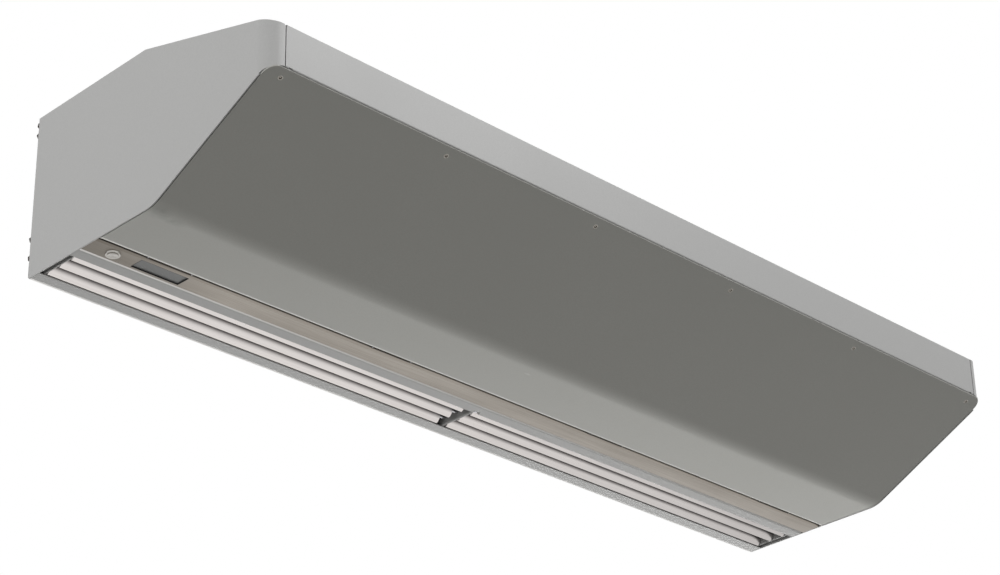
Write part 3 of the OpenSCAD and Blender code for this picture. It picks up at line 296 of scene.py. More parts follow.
# Each finish is named for the real one: what it is made of and how its surface was worked. The real brushed
# lines are some 0.1 mm wide, and are drawn wider so that they show.
paints = {
    # Light grey powder coat: satin, with no reflection sharp enough to read
    "shell": powderCoat("powderCoatedSteel", shellPaint),
    # The same coat on the cover, a little warmer, with a painted highlight along its rear edge and marks of
    # handling
    "cover": powderCoat("powderCoatedCoverSteel", coverPaint),
    # Smoother on the rails, with a painted highlight line along their folded edges
    "rail": powderCoat("powderCoatedRailSteel", railPaint),
    # A lighter copy of the coat on the back panel: painted light
    "back": powderCoat("lighterPowderCoatedBackSteel", lighterBackPaint),
    # Long brushed lines and a warm streaked sheen, with painted shade darkening it toward the left end by the
    # button
    "stainless": brushedMetal("brushedStainlessSteel", {
        "tones": ("#8f887f", "#aba49b"), "axis": 0, "lineWidth": 0.6 * mm, "lineLength": 90 * mm,
        "cloud": 90 * mm, "rough": 0.36, "bump": 0.2, "anisotropic": 0.5,
        "paintedShade": {"above": (30 * mm, 40 * mm), "toward": (-430 * mm, -halfLength), "atEnd": 0.6,
                 "tone": "#4d483f"}}),
    # Extruded and anodised: a pale silky metal, with painted shade darkening its deeper part and toward the
    # right end
    "vane": brushedMetal("anodisedAluminium", {
        "tones": ("#dcd6d3", "#e8e3e0"), "axis": 0, "lineWidth": 0.6 * mm, "lineLength": 200 * mm,
        "cloud": 120 * mm, "rough": 0.3, "bump": 0.05, "anisotropic": 0.0,
        "paintedShade": {"above": (3.5 * mm, 12 * mm), "toward": (-190 * mm, halfLength), "atEnd": 0.3,
                 "tone": "#4a4a4e"}}),
    # Patches of grey crystals, each with a gloss of its own
    "zincSheet": spangledZinc("galvanisedSteel", {
        "tones": ("#7c8082", "#a2a6a8"), "crystal": 9 * mm, "rough": 0.42}),
    # Electroplated: an even, slightly warm silver
    "zincScrew": brushedMetal("zincPlatedSteel", {
        "tones": ("#8f8b84", "#b5b1a8"), "axis": 2, "lineWidth": 0.3 * mm, "lineLength": 2 * mm,
        "cloud": 20 * mm, "rough": 0.35, "bump": 0.1, "anisotropic": 0.0}),
    # Blackened in a salt bath: nearly black, with a dull brown shine
    "darkScrew": brushedMetal("blackOxideSteel", {
        "tones": ("#2e2a26", "#4a443d"), "axis": 2, "lineWidth": 0.3 * mm, "lineLength": 2 * mm,
        "cloud": 20 * mm, "rough": 0.4, "bump": 0.1, "anisotropic": 0.0}),
    # Ground pins and shafts: bright, with short fine scratches
    "groundSteel": brushedMetal("groundSteel", {
        "tones": ("#b4b4b6", "#d2d2d4"), "axis": 0, "lineWidth": 0.2 * mm, "lineLength": 1 * mm,
        "cloud": 30 * mm, "rough": 0.22, "bump": 0.1, "anisotropic": 0.0}),
    # Polished plate on the button and its ring: near a mirror, with dark and light bands
    "chrome": mouldedSurface("polishedChrome", {
        "tones": ("#a5a29d", "#b3b0ab"), "grain": 4 * mm, "rough": 0.14, "bump": 0.0, "metallic": 1.0}),
    # Sprayed enamel on the motor: dark, with soft highlights
    "enamel": mouldedSurface("motorEnamel", {
        "tones": ("#24272a", "#2d3134"), "grain": 1.2 * mm, "rough": 0.34, "bump": 0.15, "metallic": 0.0}),
    # Stacked stampings: dark steel with a line at each lamination
    "coreSteel": brushedMetal("laminatedCoreSteel", {
        "tones": ("#4e4b48", "#7b7772"), "axis": 1, "lineWidth": 0.5 * mm, "lineLength": 40 * mm,
        "cloud": 30 * mm, "rough": 0.45, "bump": 0.4, "anisotropic": 0.0}),
    # Moulded rubber: matt black
    "rubber": mouldedSurface("nitrileRubber", {
        "tones": ("#17171a", "#222226"), "grain": 0.8 * mm, "rough": 0.75, "bump": 0.2, "metallic": 0.0}),
    # Deep-drawn can of the capacitor: pale metal with lines along the draw
    "canMetal": brushedMetal("drawnAluminium", {
        "tones": ("#bcbdbf", "#d6d7d8"), "axis": 0, "lineWidth": 0.4 * mm, "lineLength": 30 * mm,
        "cloud": 40 * mm, "rough": 0.3, "bump": 0.1, "anisotropic": 0.3}),
    # Pressed terminal block: ivory with a low sheen
    "ivory": mouldedSurface("ureaPlastic", {
        "tones": ("#cfc6ae", "#dad2bc"), "grain": 0.7 * mm, "rough": 0.45, "bump": 0.08, "metallic": 0.0}),
    # Textured mould: black, with a soft sheen
    "blackPlastic": mouldedSurface("blackAbsPlastic", {
        "tones": ("#141416", "#1c1c1f"), "grain": 0.6 * mm, "rough": 0.5, "bump": 0.15, "metallic": 0.0}),
    # Smoked sheet over a dark display: flat grey, and smooth
    "smoked": mouldedSurface("smokedAcrylic", {
        "tones": ("#6c6d6c", "#707170"), "grain": 3 * mm, "rough": 0.34, "bump": 0.0, "metallic": 0.0}),
}
print("materials made")

vaneNames = [side + row + "_vane" for side in ("left_", "right_") for row in ("rear", "middle", "front")]
pinNames = [name.replace("vane", "pins") for name in vaneNames]
finishes = {
    "shell": ["top_panel", "left_end_panel", "right_end_panel", "front_fascia", "intake_grille",
              "nozzle_divider", "left_vane_bracket", "right_vane_bracket"],
    "rail": ["nozzle_front_rail"],
    "back": ["back_panel"],
    "cover": ["access_cover"],
    "stainless": ["control_strip"],
    "vane": vaneNames,
    "zincSheet": ["plenum_wall", "left_scroll", "right_scroll", "left_inlets", "right_inlets", "left_wheel",
                  "right_wheel", "motor_cradle", "electrical_box", "box_lid"],
    "zincScrew": ["motor_clamps", "capacitor_strap", "button_nut", "suspension_nuts"],
    "darkScrew": ["hinge_leaves", "cover_leaves", "wheel_set_screws", "cabinet_screws", "cover_screws"],
    "groundSteel": ["hinge_pins", "divider_screw", "motor_shaft", "motor_bearings"] + pinNames,
    "chrome": ["power_button", "button_ring"],
    "enamel": ["motor_shell", "motor_shields"],
    "coreSteel": ["motor_rotor", "motor_stator"],
    "rubber": ["motor_rubbers"],
    "canMetal": ["run_capacitor"],
    "ivory": ["terminal_block"],
    "blackPlastic": ["motor_relay", "switch_body", "display_module"],
    "smoked": ["display_window"],
}
nodeFinish = {node: finish for finish, members in finishes.items() for node in members}
for name, thing in nodes.items():
    thing.data.materials.clear()
    thing.data.materials.append(paints[nodeFinish[name]])
print("frame pieces finished:", len(nodes))


# Making pieces
def easeShading(mesh, sharpAbove):
    mesh.shade_smooth()
    mesh.set_sharp_from_angle(angle=math.radians(sharpAbove))


def settle(holder):  # the evaluated shape becomes the holder's own plain mesh
    bpy.context.view_layer.update()
    plain = bpy.data.meshes.new_from_object(holder.evaluated_get(bpy.context.evaluated_depsgraph_get()))
    holder.modifiers.clear()
    holder.data = plain
    plain.name = holder.name
    return holder


def standFor(piece, node):
    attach(piece, bodyOf[node])
    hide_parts(node)


# Folded sheet: welded copies of the frame's own panels, with their edges broken as a real sheet's are
foldedSheet = {
    "edge": 0.3 * mm, "edgeSteps": 2, "bendAbove": 35, "smoothBelow": 38,
    "weldWithin": 0.005 * mm, "flatWithin": 0.2,
    "pieces": ["back_panel", "top_panel", "left_end_panel", "right_end_panel", "front_fascia", "access_cover",
               "control_strip", "nozzle_front_rail", "nozzle_divider", "left_vane_bracket",
               "right_vane_bracket", "left_scroll", "right_scroll", "plenum_wall"],
}


def breakEdges(node, settings):
    mesh = bpy.data.meshes.new(node)
    work = bmesh.new()
    work.from_mesh(nodes[node].data)
    bmesh.ops.remove_doubles(work, verts=work.verts, dist=settings["weldWithin"])
    bmesh.ops.dissolve_limit(work, angle_limit=math.radians(settings["flatWithin"]), verts=work.verts,
                             edges=work.edges)
    work.to_mesh(mesh)
    work.free()
    easeShading(mesh, settings["smoothBelow"])
    piece = bpy.data.objects.new(node + "Sheet", mesh)
    scene.collection.objects.link(piece)
    bevel = piece.modifiers.new("brokenEdges", "BEVEL")
    bevel.width = settings["edge"]
    bevel.segments = settings["edgeSteps"]
    bevel.limit_method = "ANGLE"
    bevel.angle_limit = math.radians(settings["bendAbove"])
    shade = piece.modifiers.new("flatFaces", "WEIGHTED_NORMAL")
    shade.keep_sharp = True
    settle(piece)
    piece.data.materials.clear()
    piece.data.materials.append(paints[nodeFinish[node]])
    standFor(piece, node)


for sheetName in foldedSheet["pieces"]:
    breakEdges(sheetName, foldedSheet)
print("folded sheet finished:", len(foldedSheet["pieces"]))

# Geometry node trees
weldWithin = 0.002 * mm  # the wall and the ends of an extruded shape meet within this


def startTree(name, sizes):
    tree = bpy.data.node_groups.new(name, "GeometryNodeTree")
    for label, kind in sizes.items():
        tree.interface.new_socket(label, in_out="INPUT", socket_type="NodeSocket" + kind)
    tree.interface.new_socket("Geometry", in_out="OUTPUT", socket_type="NodeSocketGeometry")
    return tree, addNode(tree, "NodeGroupInput").outputs


def closeTree(tree, geometry, finish):
    whole = addNode(tree, "GeometryNodeRealizeInstances", {"Geometry": geometry})
    dressed = addNode(tree, "GeometryNodeSetMaterial", {"Geometry": whole.outputs[0], "Material": finish})
    addNode(tree, "NodeGroupOutput", {"Geometry": dressed.outputs[0]})
    return tree


def grow(name, tree, values, seed=None):
    holder = bpy.data.objects.new(name, seed or bpy.data.meshes.new(name))
    scene.collection.objects.link(holder)
    modifier = holder.modifiers.new("grow", "NODES")
    modifier.node_group = tree
    for socket in tree.interface.items_tree:
        if socket.in_out == "INPUT" and socket.name in values:
            modifier[socket.identifier] = values[socket.name]
    return settle(holder)


# Outlet vanes: an extruded airfoil, round nose down and thin edge up, drawn flat and then laid along X
vane = {
    "chord": 34 * mm, "thickness": 7.6 * mm, "edge": 1.2 * mm, "pivotShare": 0.29, "tilt": math.radians(25),
    "pivotHeight": 10 * mm, "pitch": 23 * mm, "slotMiddle": -49.25 * mm,
    "sectionSteps": 48, "smoothBelow": 40,
    "seriesScale": 5.0, "series": [0.2969, -0.1260, -0.3516, 0.2843, -0.1036],  # a four-digit airfoil
    "left": (-614.5 * mm, -13 * mm), "right": (3 * mm, 614.5 * mm),
    "rows": {"rear": 1, "middle": 0, "front": -1},
}


def airfoilTree(settings):
    tree, size = startTree("airfoilVane", {
        "Chord": "Float", "Thickness": "Float", "Edge": "Float", "Pivot": "Float", "Tilt": "Float",
        "Length": "Float", "Place": "Vector", "Finish": "Material"})
    steps = settings["sectionSteps"]
    series = settings["series"]

    # Each point's turn round the section gives its share of the chord and its side
    index = addNode(tree, "GeometryNodeInputIndex")
    angle = addNode(tree, "ShaderNodeMath", {0: index.outputs[0], 1: 0.5}, operation="ADD")
    angle = addNode(tree, "ShaderNodeMath", {0: angle.outputs[0], 1: math.tau / steps}, operation="MULTIPLY")
    cosine = addNode(tree, "ShaderNodeMath", {0: angle.outputs[0]}, operation="COSINE")
    sine = addNode(tree, "ShaderNodeMath", {0: angle.outputs[0]}, operation="SINE")
    side = addNode(tree, "ShaderNodeMath", {0: sine.outputs[0]}, operation="SIGN")
    share = addNode(tree, "ShaderNodeMath", {0: cosine.outputs[0], 1: -0.5, 2: 0.5}, operation="MULTIPLY_ADD")

    # Half the thickness there: the airfoil series, and a wedge that leaves the trailing edge its thickness
    root = addNode(tree, "ShaderNodeMath", {0: share.outputs[0]}, operation="SQRT")
    bulge = addNode(tree, "ShaderNodeMath", {0: root.outputs[0], 1: series[0]}, operation="MULTIPLY")
    curve = series[4]
    for factor in (series[3], series[2], series[1]):
        grown = addNode(tree, "ShaderNodeMath", {0: curve, 1: share.outputs[0], 2: factor},
                        operation="MULTIPLY_ADD")
        curve = grown.outputs[0]
    full = addNode(tree, "ShaderNodeMath", {0: curve, 1: share.outputs[0], 2: bulge.outputs[0]},
                   operation="MULTIPLY_ADD")
    half = addNode(tree, "ShaderNodeMath", {0: full.outputs[0], 1: size["Thickness"]}, operation="MULTIPLY")
    thin = addNode(tree, "ShaderNodeMath", {0: share.outputs[0], 1: size["Edge"]}, operation="MULTIPLY")
    thin = addNode(tree, "ShaderNodeMath", {0: thin.outputs[0], 1: 0.5}, operation="MULTIPLY")
    half = addNode(tree, "ShaderNodeMath", {
        0: half.outputs[0], 1: settings["seriesScale"], 2: thin.outputs[0]}, operation="MULTIPLY_ADD")
    across = addNode(tree, "ShaderNodeMath", {0: half.outputs[0], 1: side.outputs[0]}, operation="MULTIPLY")
    above = addNode(tree, "ShaderNodeMath", {0: share.outputs[0], 1: size["Pivot"]}, operation="SUBTRACT")
    above = addNode(tree, "ShaderNodeMath", {0: above.outputs[0], 1: size["Chord"]}, operation="MULTIPLY")
    point = addNode(tree, "ShaderNodeCombineXYZ", {"X": across.outputs[0], "Y": above.outputs[0]})

    # The section is filled, drawn out to the vane's length, tilted and laid in place
    ring = addNode(tree, "GeometryNodeCurvePrimitiveCircle", {"Resolution": steps})
    outline = addNode(tree, "GeometryNodeSetPosition", {"Geometry": ring.outputs[0],
                                                       "Position": point.outputs[0]})
    face = addNode(tree, "GeometryNodeFillCurve", {"Curve": outline.outputs[0]}, mode="NGONS")
    reach = addNode(tree, "ShaderNodeCombineXYZ", {"Z": size["Length"]})
    body = addNode(tree, "GeometryNodeExtrudeMesh", {"Mesh": face.outputs[0], "Offset": reach.outputs[0],
                                                    "Individual": False})
    foot = addNode(tree, "GeometryNodeFlipFaces", {"Mesh": face.outputs[0]})
    joined = addNode(tree, "GeometryNodeJoinGeometry", {0: [body.outputs[0], foot.outputs[0]]})
    welded = addNode(tree, "GeometryNodeMergeByDistance", {"Geometry": joined.outputs[0],
                                                          "Distance": weldWithin})
    turn = addNode(tree, "ShaderNodeCombineXYZ", {"Z": size["Tilt"]})
    tilted = addNode(tree, "GeometryNodeTransform", {"Geometry": welded.outputs[0],
                                                    "Rotation": turn.outputs[0]})
    laid = addNode(tree, "GeometryNodeTransform", {
        "Geometry": tilted.outputs[0], "Translation": size["Place"],
        "Rotation": (math.pi / 2, 0, math.pi / 2)})
    return closeTree(tree, laid.outputs[0], size["Finish"])


def makeVanes(settings):
    tree = airfoilTree(settings)
    z = lowest + settings["pivotHeight"]
    for side in ("left", "right"):
        start, end = settings[side]
        for row, step in settings["rows"].items():
            place = (start, settings["slotMiddle"] + step * settings["pitch"], z)
            piece = grow(side + "Vane_" + row, tree, {
                "Chord": settings["chord"], "Thickness": settings["thickness"], "Edge": settings["edge"],
                "Pivot": settings["pivotShare"], "Tilt": settings["tilt"], "Length": end - start,
                "Place": place, "Finish": paints["vane"]})
            easeShading(piece.data, settings["smoothBelow"])
            standFor(piece, side + "_" + row + "_vane")


makeVanes(vane)
print("outlet vanes made")

# Screws: one tree draws a head with its flange, shank and recess, and sets it at each place of a seed mesh
screw = {"flangeSides": 28, "shankSides": 16, "cutterDepth": 2 * mm, "smoothBelow": 35}
coverScrew = {  # countersunk, each with a dark disc in its head's recess as painted shade for the driver's socket
    "count": 6, "fromEnd": 25 * mm, "fromFront": 13 * mm,
    "head": {"Sides": 28, "Head below": 1.95 * mm, "Head above": 2.85 * mm, "Head height": 0.9 * mm,
             "Lift": -1.4 * mm, "Flange radius": 1.95 * mm, "Flange height": 0.3 * mm,
             "Shank radius": 1.9 * mm, "Shank length": 3.2 * mm, "Recess radius": 2.1 * mm,
             "Recess sides": 6, "Recess depth": 0.5 * mm, "Seed": 3},
    # A dark hex disc set low in the head's recess: painted shade for the socket
    "socket": {"Sides": 6, "Head below": 2.08 * mm, "Head above": 2.08 * mm, "Head height": 0.3 * mm,
               "Lift": -1.2 * mm, "Flange radius": 1.8 * mm, "Flange height": 0.1 * mm,
               "Shank radius": 1.2 * mm, "Shank length": 0.4 * mm, "Recess radius": 0.9 * mm,
               "Recess sides": 6, "Recess depth": 0.15 * mm, "Seed": 3},
}
hexScrew = {  # hex washer heads down each end of the back
    "fromEnd": 6 * mm, "heights": [0.14, 0.256, 0.907, 0.971],
    "head": {"Sides": 6, "Head below": 4.66 * mm, "Head above": 4.5 * mm, "Head height": 4.8 * mm,
             "Lift": 1.2 * mm, "Flange radius": 5.3 * mm, "Flange height": 1.2 * mm,
             "Shank radius": 2 * mm, "Shank length": 7 * mm, "Recess radius": 2.9 * mm,
             "Recess sides": 20, "Recess depth": 0.6 * mm, "Seed": 8},
}
panScrew = {  # pan heads along each end of the top and the slope
    "fromEnd": 10 * mm, "flatShares": [0.035, 0.5, 0.93], "slopeShares": [0.2, 0.75],
    "head": {"Sides": 24, "Head below": 4.5 * mm, "Head above": 3.3 * mm, "Head height": 1.8 * mm,
             "Lift": 0.6 * mm, "Flange radius": 4.5 * mm, "Flange height": 0.6 * mm,
             "Shank radius": 2 * mm, "Shank length": 7 * mm, "Recess radius": 1.6 * mm,
             "Recess sides": 6, "Recess depth": 1.4 * mm, "Seed": 5},
}


def screwTree(settings):
    tree, size = startTree("screwSet", {
        "Geometry": "Geometry", "Sides": "Int", "Head below": "Float", "Head above": "Float",
        "Head height": "Float", "Lift": "Float", "Flange radius": "Float", "Flange height": "Float",
        "Shank radius": "Float", "Shank length": "Float", "Recess radius": "Float", "Recess sides": "Int",
        "Recess depth": "Float", "Seed": "Int", "Finish": "Material"})

    # The head, with its recess cut from above
    head = addNode(tree, "GeometryNodeMeshCone", {
        "Vertices": size["Sides"], "Radius Top": size["Head above"], "Radius Bottom": size["Head below"],
        "Depth": size["Head height"]})
    cutter = addNode(tree, "GeometryNodeMeshCylinder", {
        "Vertices": size["Recess sides"], "Radius": size["Recess radius"], "Depth": settings["cutterDepth"]})
    cutLow = addNode(tree, "ShaderNodeMath", {0: size["Head height"], 1: size["Recess depth"]},
                     operation="SUBTRACT")
    cutLow = addNode(tree, "ShaderNodeMath", {0: cutLow.outputs[0], 1: settings["cutterDepth"] / 2},
                     operation="ADD")
    cutPlace = addNode(tree, "ShaderNodeCombineXYZ", {"Z": cutLow.outputs[0]})
    cutter = addNode(tree, "GeometryNodeTransform", {"Geometry": cutter.outputs[0],
                                                    "Translation": cutPlace.outputs[0]})
    head = addNode(tree, "GeometryNodeMeshBoolean", {"Mesh 1": head.outputs[0], "Mesh 2": cutter.outputs[0]},
                   operation="DIFFERENCE", solver="EXACT")
    headPlace = addNode(tree, "ShaderNodeCombineXYZ", {"Z": size["Lift"]})
    head = addNode(tree, "GeometryNodeTransform", {"Geometry": head.outputs[0],
                                                  "Translation": headPlace.outputs[0]})

    # The flange under it, and the shank
    flange = addNode(tree, "GeometryNodeMeshCone", {
        "Vertices": settings["flangeSides"], "Radius Top": size["Head below"],
        "Radius Bottom": size["Flange radius"], "Depth": size["Flange height"]})
    flangeLow = addNode(tree, "ShaderNodeMath", {0: size["Lift"], 1: size["Flange height"]},
                        operation="SUBTRACT")
    flangePlace = addNode(tree, "ShaderNodeCombineXYZ", {"Z": flangeLow.outputs[0]})
    flange = addNode(tree, "GeometryNodeTransform", {"Geometry": flange.outputs[0],
                                                    "Translation": flangePlace.outputs[0]})
    shank = addNode(tree, "GeometryNodeMeshCylinder", {
        "Vertices": settings["shankSides"], "Radius": size["Shank radius"], "Depth": size["Shank length"]})
    shankLow = addNode(tree, "ShaderNodeMath", {0: size["Shank length"], 1: -0.5, 2: flangeLow.outputs[0]},
                       operation="MULTIPLY_ADD")
    shankPlace = addNode(tree, "ShaderNodeCombineXYZ", {"Z": shankLow.outputs[0]})
    shank = addNode(tree, "GeometryNodeTransform", {"Geometry": shank.outputs[0],
                                                   "Translation": shankPlace.outputs[0]})
    whole = addNode(tree, "GeometryNodeJoinGeometry", {0: [head.outputs[0], flange.outputs[0],
                                                           shank.outputs[0]]})

    # One at each place, turned to face outward and then rolled by chance, as drivers leave them
    facing = addNode(tree, "GeometryNodeInputNamedAttribute", {"Name": "facing"}, data_type="FLOAT_VECTOR")
    turned = addNode(tree, "FunctionNodeAlignRotationToVector", {"Vector": facing.outputs["Attribute"]},
                     axis="Z")
    chance = addNode(tree, "FunctionNodeRandomValue", {3: math.tau, "Seed": size["Seed"]}, data_type="FLOAT")
    roll = addNode(tree, "ShaderNodeCombineXYZ", {"Z": chance.outputs[1]})
    rolled = addNode(tree, "FunctionNodeRotateRotation", {
        "Rotation": turned.outputs[0], "Rotate By": roll.outputs[0]}, rotation_space="LOCAL")
    placed = addNode(tree, "GeometryNodeInstanceOnPoints", {
        "Points": size["Geometry"], "Instance": whole.outputs[0], "Rotation": rolled.outputs[0]})
    return closeTree(tree, placed.outputs[0], size["Finish"])


def seedPlaces(name, places):
    mesh = bpy.data.meshes.new(name)
    mesh.from_pydata([place for place, facing in places], [], [])
    facings = mesh.attributes.new("facing", "FLOAT_VECTOR", "POINT")
    for i, (place, facing) in enumerate(places):
        facings.data[i].vector = facing
    return mesh


def coverPlaces(settings):
    outward = (0, -math.sin(underSlope), -math.cos(underSlope))
    span = cabinet["length"] - 2 * settings["fromEnd"]
    step = span / (settings["count"] - 1)
    y = -cabinet["depth"] + settings["fromFront"] * math.cos(underSlope)
    z = lowest + cabinet["fasciaLow"] - settings["fromFront"] * math.sin(underSlope)
    return [((i * step - span / 2, y, z), outward) for i in range(settings["count"])]


def backPlaces(settings):
    x = halfLength - settings["fromEnd"]
    return [((side * x, 0, lowest + share * cabinet["height"]), (0, 1, 0))
            for side in (-1, 1) for share in settings["heights"]]


def topPlaces(settings):
    upward = (0, -math.sin(topSlope), math.cos(topSlope))
    slopeRun = math.hypot(cabinet["depth"] - cabinet["flatTop"], cabinet["height"] - cabinet["slopeEnd"])
    places = []
    for side in (-1, 1):
        x = side * (halfLength - settings["fromEnd"])
        for share in settings["flatShares"]:
            places.append(((x, -share * cabinet["flatTop"], -lowest), (0, 0, 1)))
        for share in settings["slopeShares"]:
            down = share * slopeRun
            places.append(((x, -cabinet["flatTop"] - down * math.cos(topSlope),
                            -lowest - down * math.sin(topSlope)), upward))
    return places


def joinPieces(name, pieces):
    mesh = bpy.data.meshes.new(name)
    work = bmesh.new()
    for piece in pieces:
        work.from_mesh(piece.data)
    work.to_mesh(mesh)
    work.free()
    for finish in pieces[0].data.materials:
        mesh.materials.append(finish)
    for piece in pieces:
        bpy.data.objects.remove(piece)
    joined = bpy.data.objects.new(name, mesh)
    scene.collection.objects.link(joined)
    return joined


def makeScrews(common, cover, hexed, pan):
    tree = screwTree(common)
    plated = {"Finish": paints["zincScrew"]}
    dark = {"Finish": paints["darkScrew"]}
    row = grow("coverScrewRow", tree, dict(cover["head"], **plated),
               seedPlaces("coverSeed", coverPlaces(cover)))
    easeShading(row.data, common["smoothBelow"])
    standFor(row, "cover_screws")
    # Dark discs in the cover screws' recesses: painted shade
    socketShades = grow("coverScrewSocketShades", tree, dict(cover["socket"], **dark),
                   seedPlaces("socketShadeSeed", coverPlaces(cover)))
    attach(socketShades, bodyOf["cover_screws"])
    backRow = grow("backScrews", tree, dict(hexed["head"], **dark), seedPlaces("backSeed", backPlaces(hexed)))
    topRow = grow("topScrews", tree, dict(pan["head"], **dark), seedPlaces("topSeed", topPlaces(pan)))
    both = joinPieces("cabinetScrewSet", [backRow, topRow])
    easeShading(both.data, common["smoothBelow"])
    standFor(both, "cabinet_screws")


makeScrews(screw, coverScrew, hexScrew, panScrew)
print("screws made")

# Intake grille: round-ended slots punched in rows through the sloped sheet, folded down at both long edges
grille = {
    "near": 15 * mm, "far": 197.84 * mm, "border": 20 * mm,  # reach down the slope, and the plain rim
    "slotLength": 58 * mm, "slotWidth": 6 * mm, "bridgeLength": 12 * mm, "bridgeWidth": 6 * mm,
    "endShare": 0.495, "endSteps": 5,  # the radius of a slot's end as a share of its width
    "foldedEdge": 6 * mm, "edgeLap": 0.3 * mm, "edgeInset": 16 * mm, "smoothBelow": 35,
}


def grilleTree(settings):
    tree, size = startTree("slottedGrille", {
        "Length": "Float", "Width": "Float", "Columns": "Int", "Rows": "Int", "Slot length": "Float",
        "Slot width": "Float", "Column step": "Float", "Row step": "Float", "Sheet": "Float",
        "Edge length": "Float", "Edge height": "Float", "Place": "Vector", "Slope": "Float",
        "Finish": "Material"})

    # One slot, then the grid of them
    slot = addNode(tree, "GeometryNodeCurvePrimitiveQuadrilateral", {"Width": size["Slot length"],
                                                                    "Height": size["Slot width"]})
    endRadius = addNode(tree, "ShaderNodeMath", {0: size["Slot width"], 1: settings["endShare"]},
                        operation="MULTIPLY")
    slot = addNode(tree, "GeometryNodeFilletCurve", {"Curve": slot.outputs[0], "Radius": endRadius.outputs[0],
                                                    "Count": settings["endSteps"]}, mode="POLY")
    spans = []
    for count, step in (("Columns", "Column step"), ("Rows", "Row step")):
        gaps = addNode(tree, "ShaderNodeMath", {0: size[count], 1: 1.0}, operation="SUBTRACT")
        span = addNode(tree, "ShaderNodeMath", {0: gaps.outputs[0], 1: size[step]}, operation="MULTIPLY")
        spans.append(span.outputs[0])
    places = addNode(tree, "GeometryNodeMeshGrid", {"Size X": spans[0], "Size Y": spans[1],
                                                   "Vertices X": size["Columns"], "Vertices Y": size["Rows"]})
    slots = addNode(tree, "GeometryNodeInstanceOnPoints", {"Points": places.outputs[0],
                                                          "Instance": slot.outputs[0]})
    slots = addNode(tree, "GeometryNodeRealizeInstances", {"Geometry": slots.outputs[0]})

    # The sheet round the slots
    rim = addNode(tree, "GeometryNodeCurvePrimitiveQuadrilateral", {"Width": size["Length"],
                                                                   "Height": size["Width"]})
    outline = addNode(tree, "GeometryNodeJoinGeometry", {0: [slots.outputs[0], rim.outputs[0]]})
    sheet = addNode(tree, "GeometryNodeFillCurve", {"Curve": outline.outputs[0]})
    thickness = addNode(tree, "ShaderNodeCombineXYZ", {"Z": size["Sheet"]})
    body = addNode(tree, "GeometryNodeExtrudeMesh", {"Mesh": sheet.outputs[0], "Offset": thickness.outputs[0],
                                                    "Individual": False})
    under = addNode(tree, "GeometryNodeFlipFaces", {"Mesh": sheet.outputs[0]})
    plate = addNode(tree, "GeometryNodeJoinGeometry", {0: [body.outputs[0], under.outputs[0]]})
    plate = addNode(tree, "GeometryNodeMergeByDistance", {"Geometry": plate.outputs[0],
                                                         "Distance": weldWithin})
    parts = [plate.outputs[0]]

    # A folded edge along each long side
    bar = addNode(tree, "ShaderNodeCombineXYZ", {"X": size["Edge length"], "Y": size["Sheet"],
                                                "Z": size["Edge height"]})
    strip = addNode(tree, "GeometryNodeMeshCube", {"Size": bar.outputs[0]})
    halfWide = addNode(tree, "ShaderNodeMath", {0: size["Width"], 1: size["Sheet"]}, operation="SUBTRACT")
    halfWide = addNode(tree, "ShaderNodeMath", {0: halfWide.outputs[0], 1: 0.5}, operation="MULTIPLY")
    drop = addNode(tree, "ShaderNodeMath", {0: size["Edge height"], 1: -0.5, 2: settings["edgeLap"]},
                   operation="MULTIPLY_ADD")
    for side in (1.0, -1.0):
        shift = addNode(tree, "ShaderNodeMath", {0: halfWide.outputs[0], 1: side}, operation="MULTIPLY")
        spot = addNode(tree, "ShaderNodeCombineXYZ", {"Y": shift.outputs[0], "Z": drop.outputs[0]})
        edge = addNode(tree, "GeometryNodeTransform", {"Geometry": strip.outputs[0],
                                                      "Translation": spot.outputs[0]})
        parts.append(edge.outputs[0])
    joined = addNode(tree, "GeometryNodeJoinGeometry", {0: parts})
    turn = addNode(tree, "ShaderNodeCombineXYZ", {"X": size["Slope"]})
    laid = addNode(tree, "GeometryNodeTransform", {
        "Geometry": joined.outputs[0], "Translation": size["Place"], "Rotation": turn.outputs[0]})
    return closeTree(tree, laid.outputs[0], size["Finish"])


def makeGrille(settings):
    wide = settings["far"] - settings["near"]
    middle = (settings["near"] + settings["far"]) / 2
    columnStep = settings["slotLength"] + settings["bridgeLength"]
    rowStep = settings["slotWidth"] + settings["bridgeWidth"]
    columns = int((2 * insideHalf - 2 * settings["border"] + settings["bridgeLength"]) / columnStep)
    rows = int((wide - 2 * settings["border"] + settings["bridgeWidth"]) / rowStep)
    sunk = cabinet["sheet"]
    place = (0, -cabinet["flatTop"] - middle * math.cos(topSlope) + sunk * math.sin(topSlope),
             -lowest - middle * math.sin(topSlope) - sunk * math.cos(topSlope))
    piece = grow("intakeGrillePlate", grilleTree(settings), {
        "Length": 2 * insideHalf, "Width": wide, "Columns": columns, "Rows": rows,
        "Slot length": settings["slotLength"], "Slot width": settings["slotWidth"],
        "Column step": columnStep, "Row step": rowStep, "Sheet": cabinet["sheet"],
        "Edge length": 2 * (insideHalf - settings["edgeInset"]), "Edge height": settings["foldedEdge"],
        "Place": place, "Slope": topSlope, "Finish": paints["shell"]})
    easeShading(piece.data, settings["smoothBelow"])
    standFor(piece, "intake_grille")


makeGrille(grille)
print("intake grille made")

# Dark rubber-finished lining round the display window, in the thickness of the strip: painted shade for the
# shadow on the walls of the window's recess
shadeLining = {"left": -558 * mm, "length": 67 * mm, "middle": -112.5 * mm, "width": 21 * mm, "wall": 0.5 * mm,
          "low": 0.15 * mm, "high": 1.5 * mm}


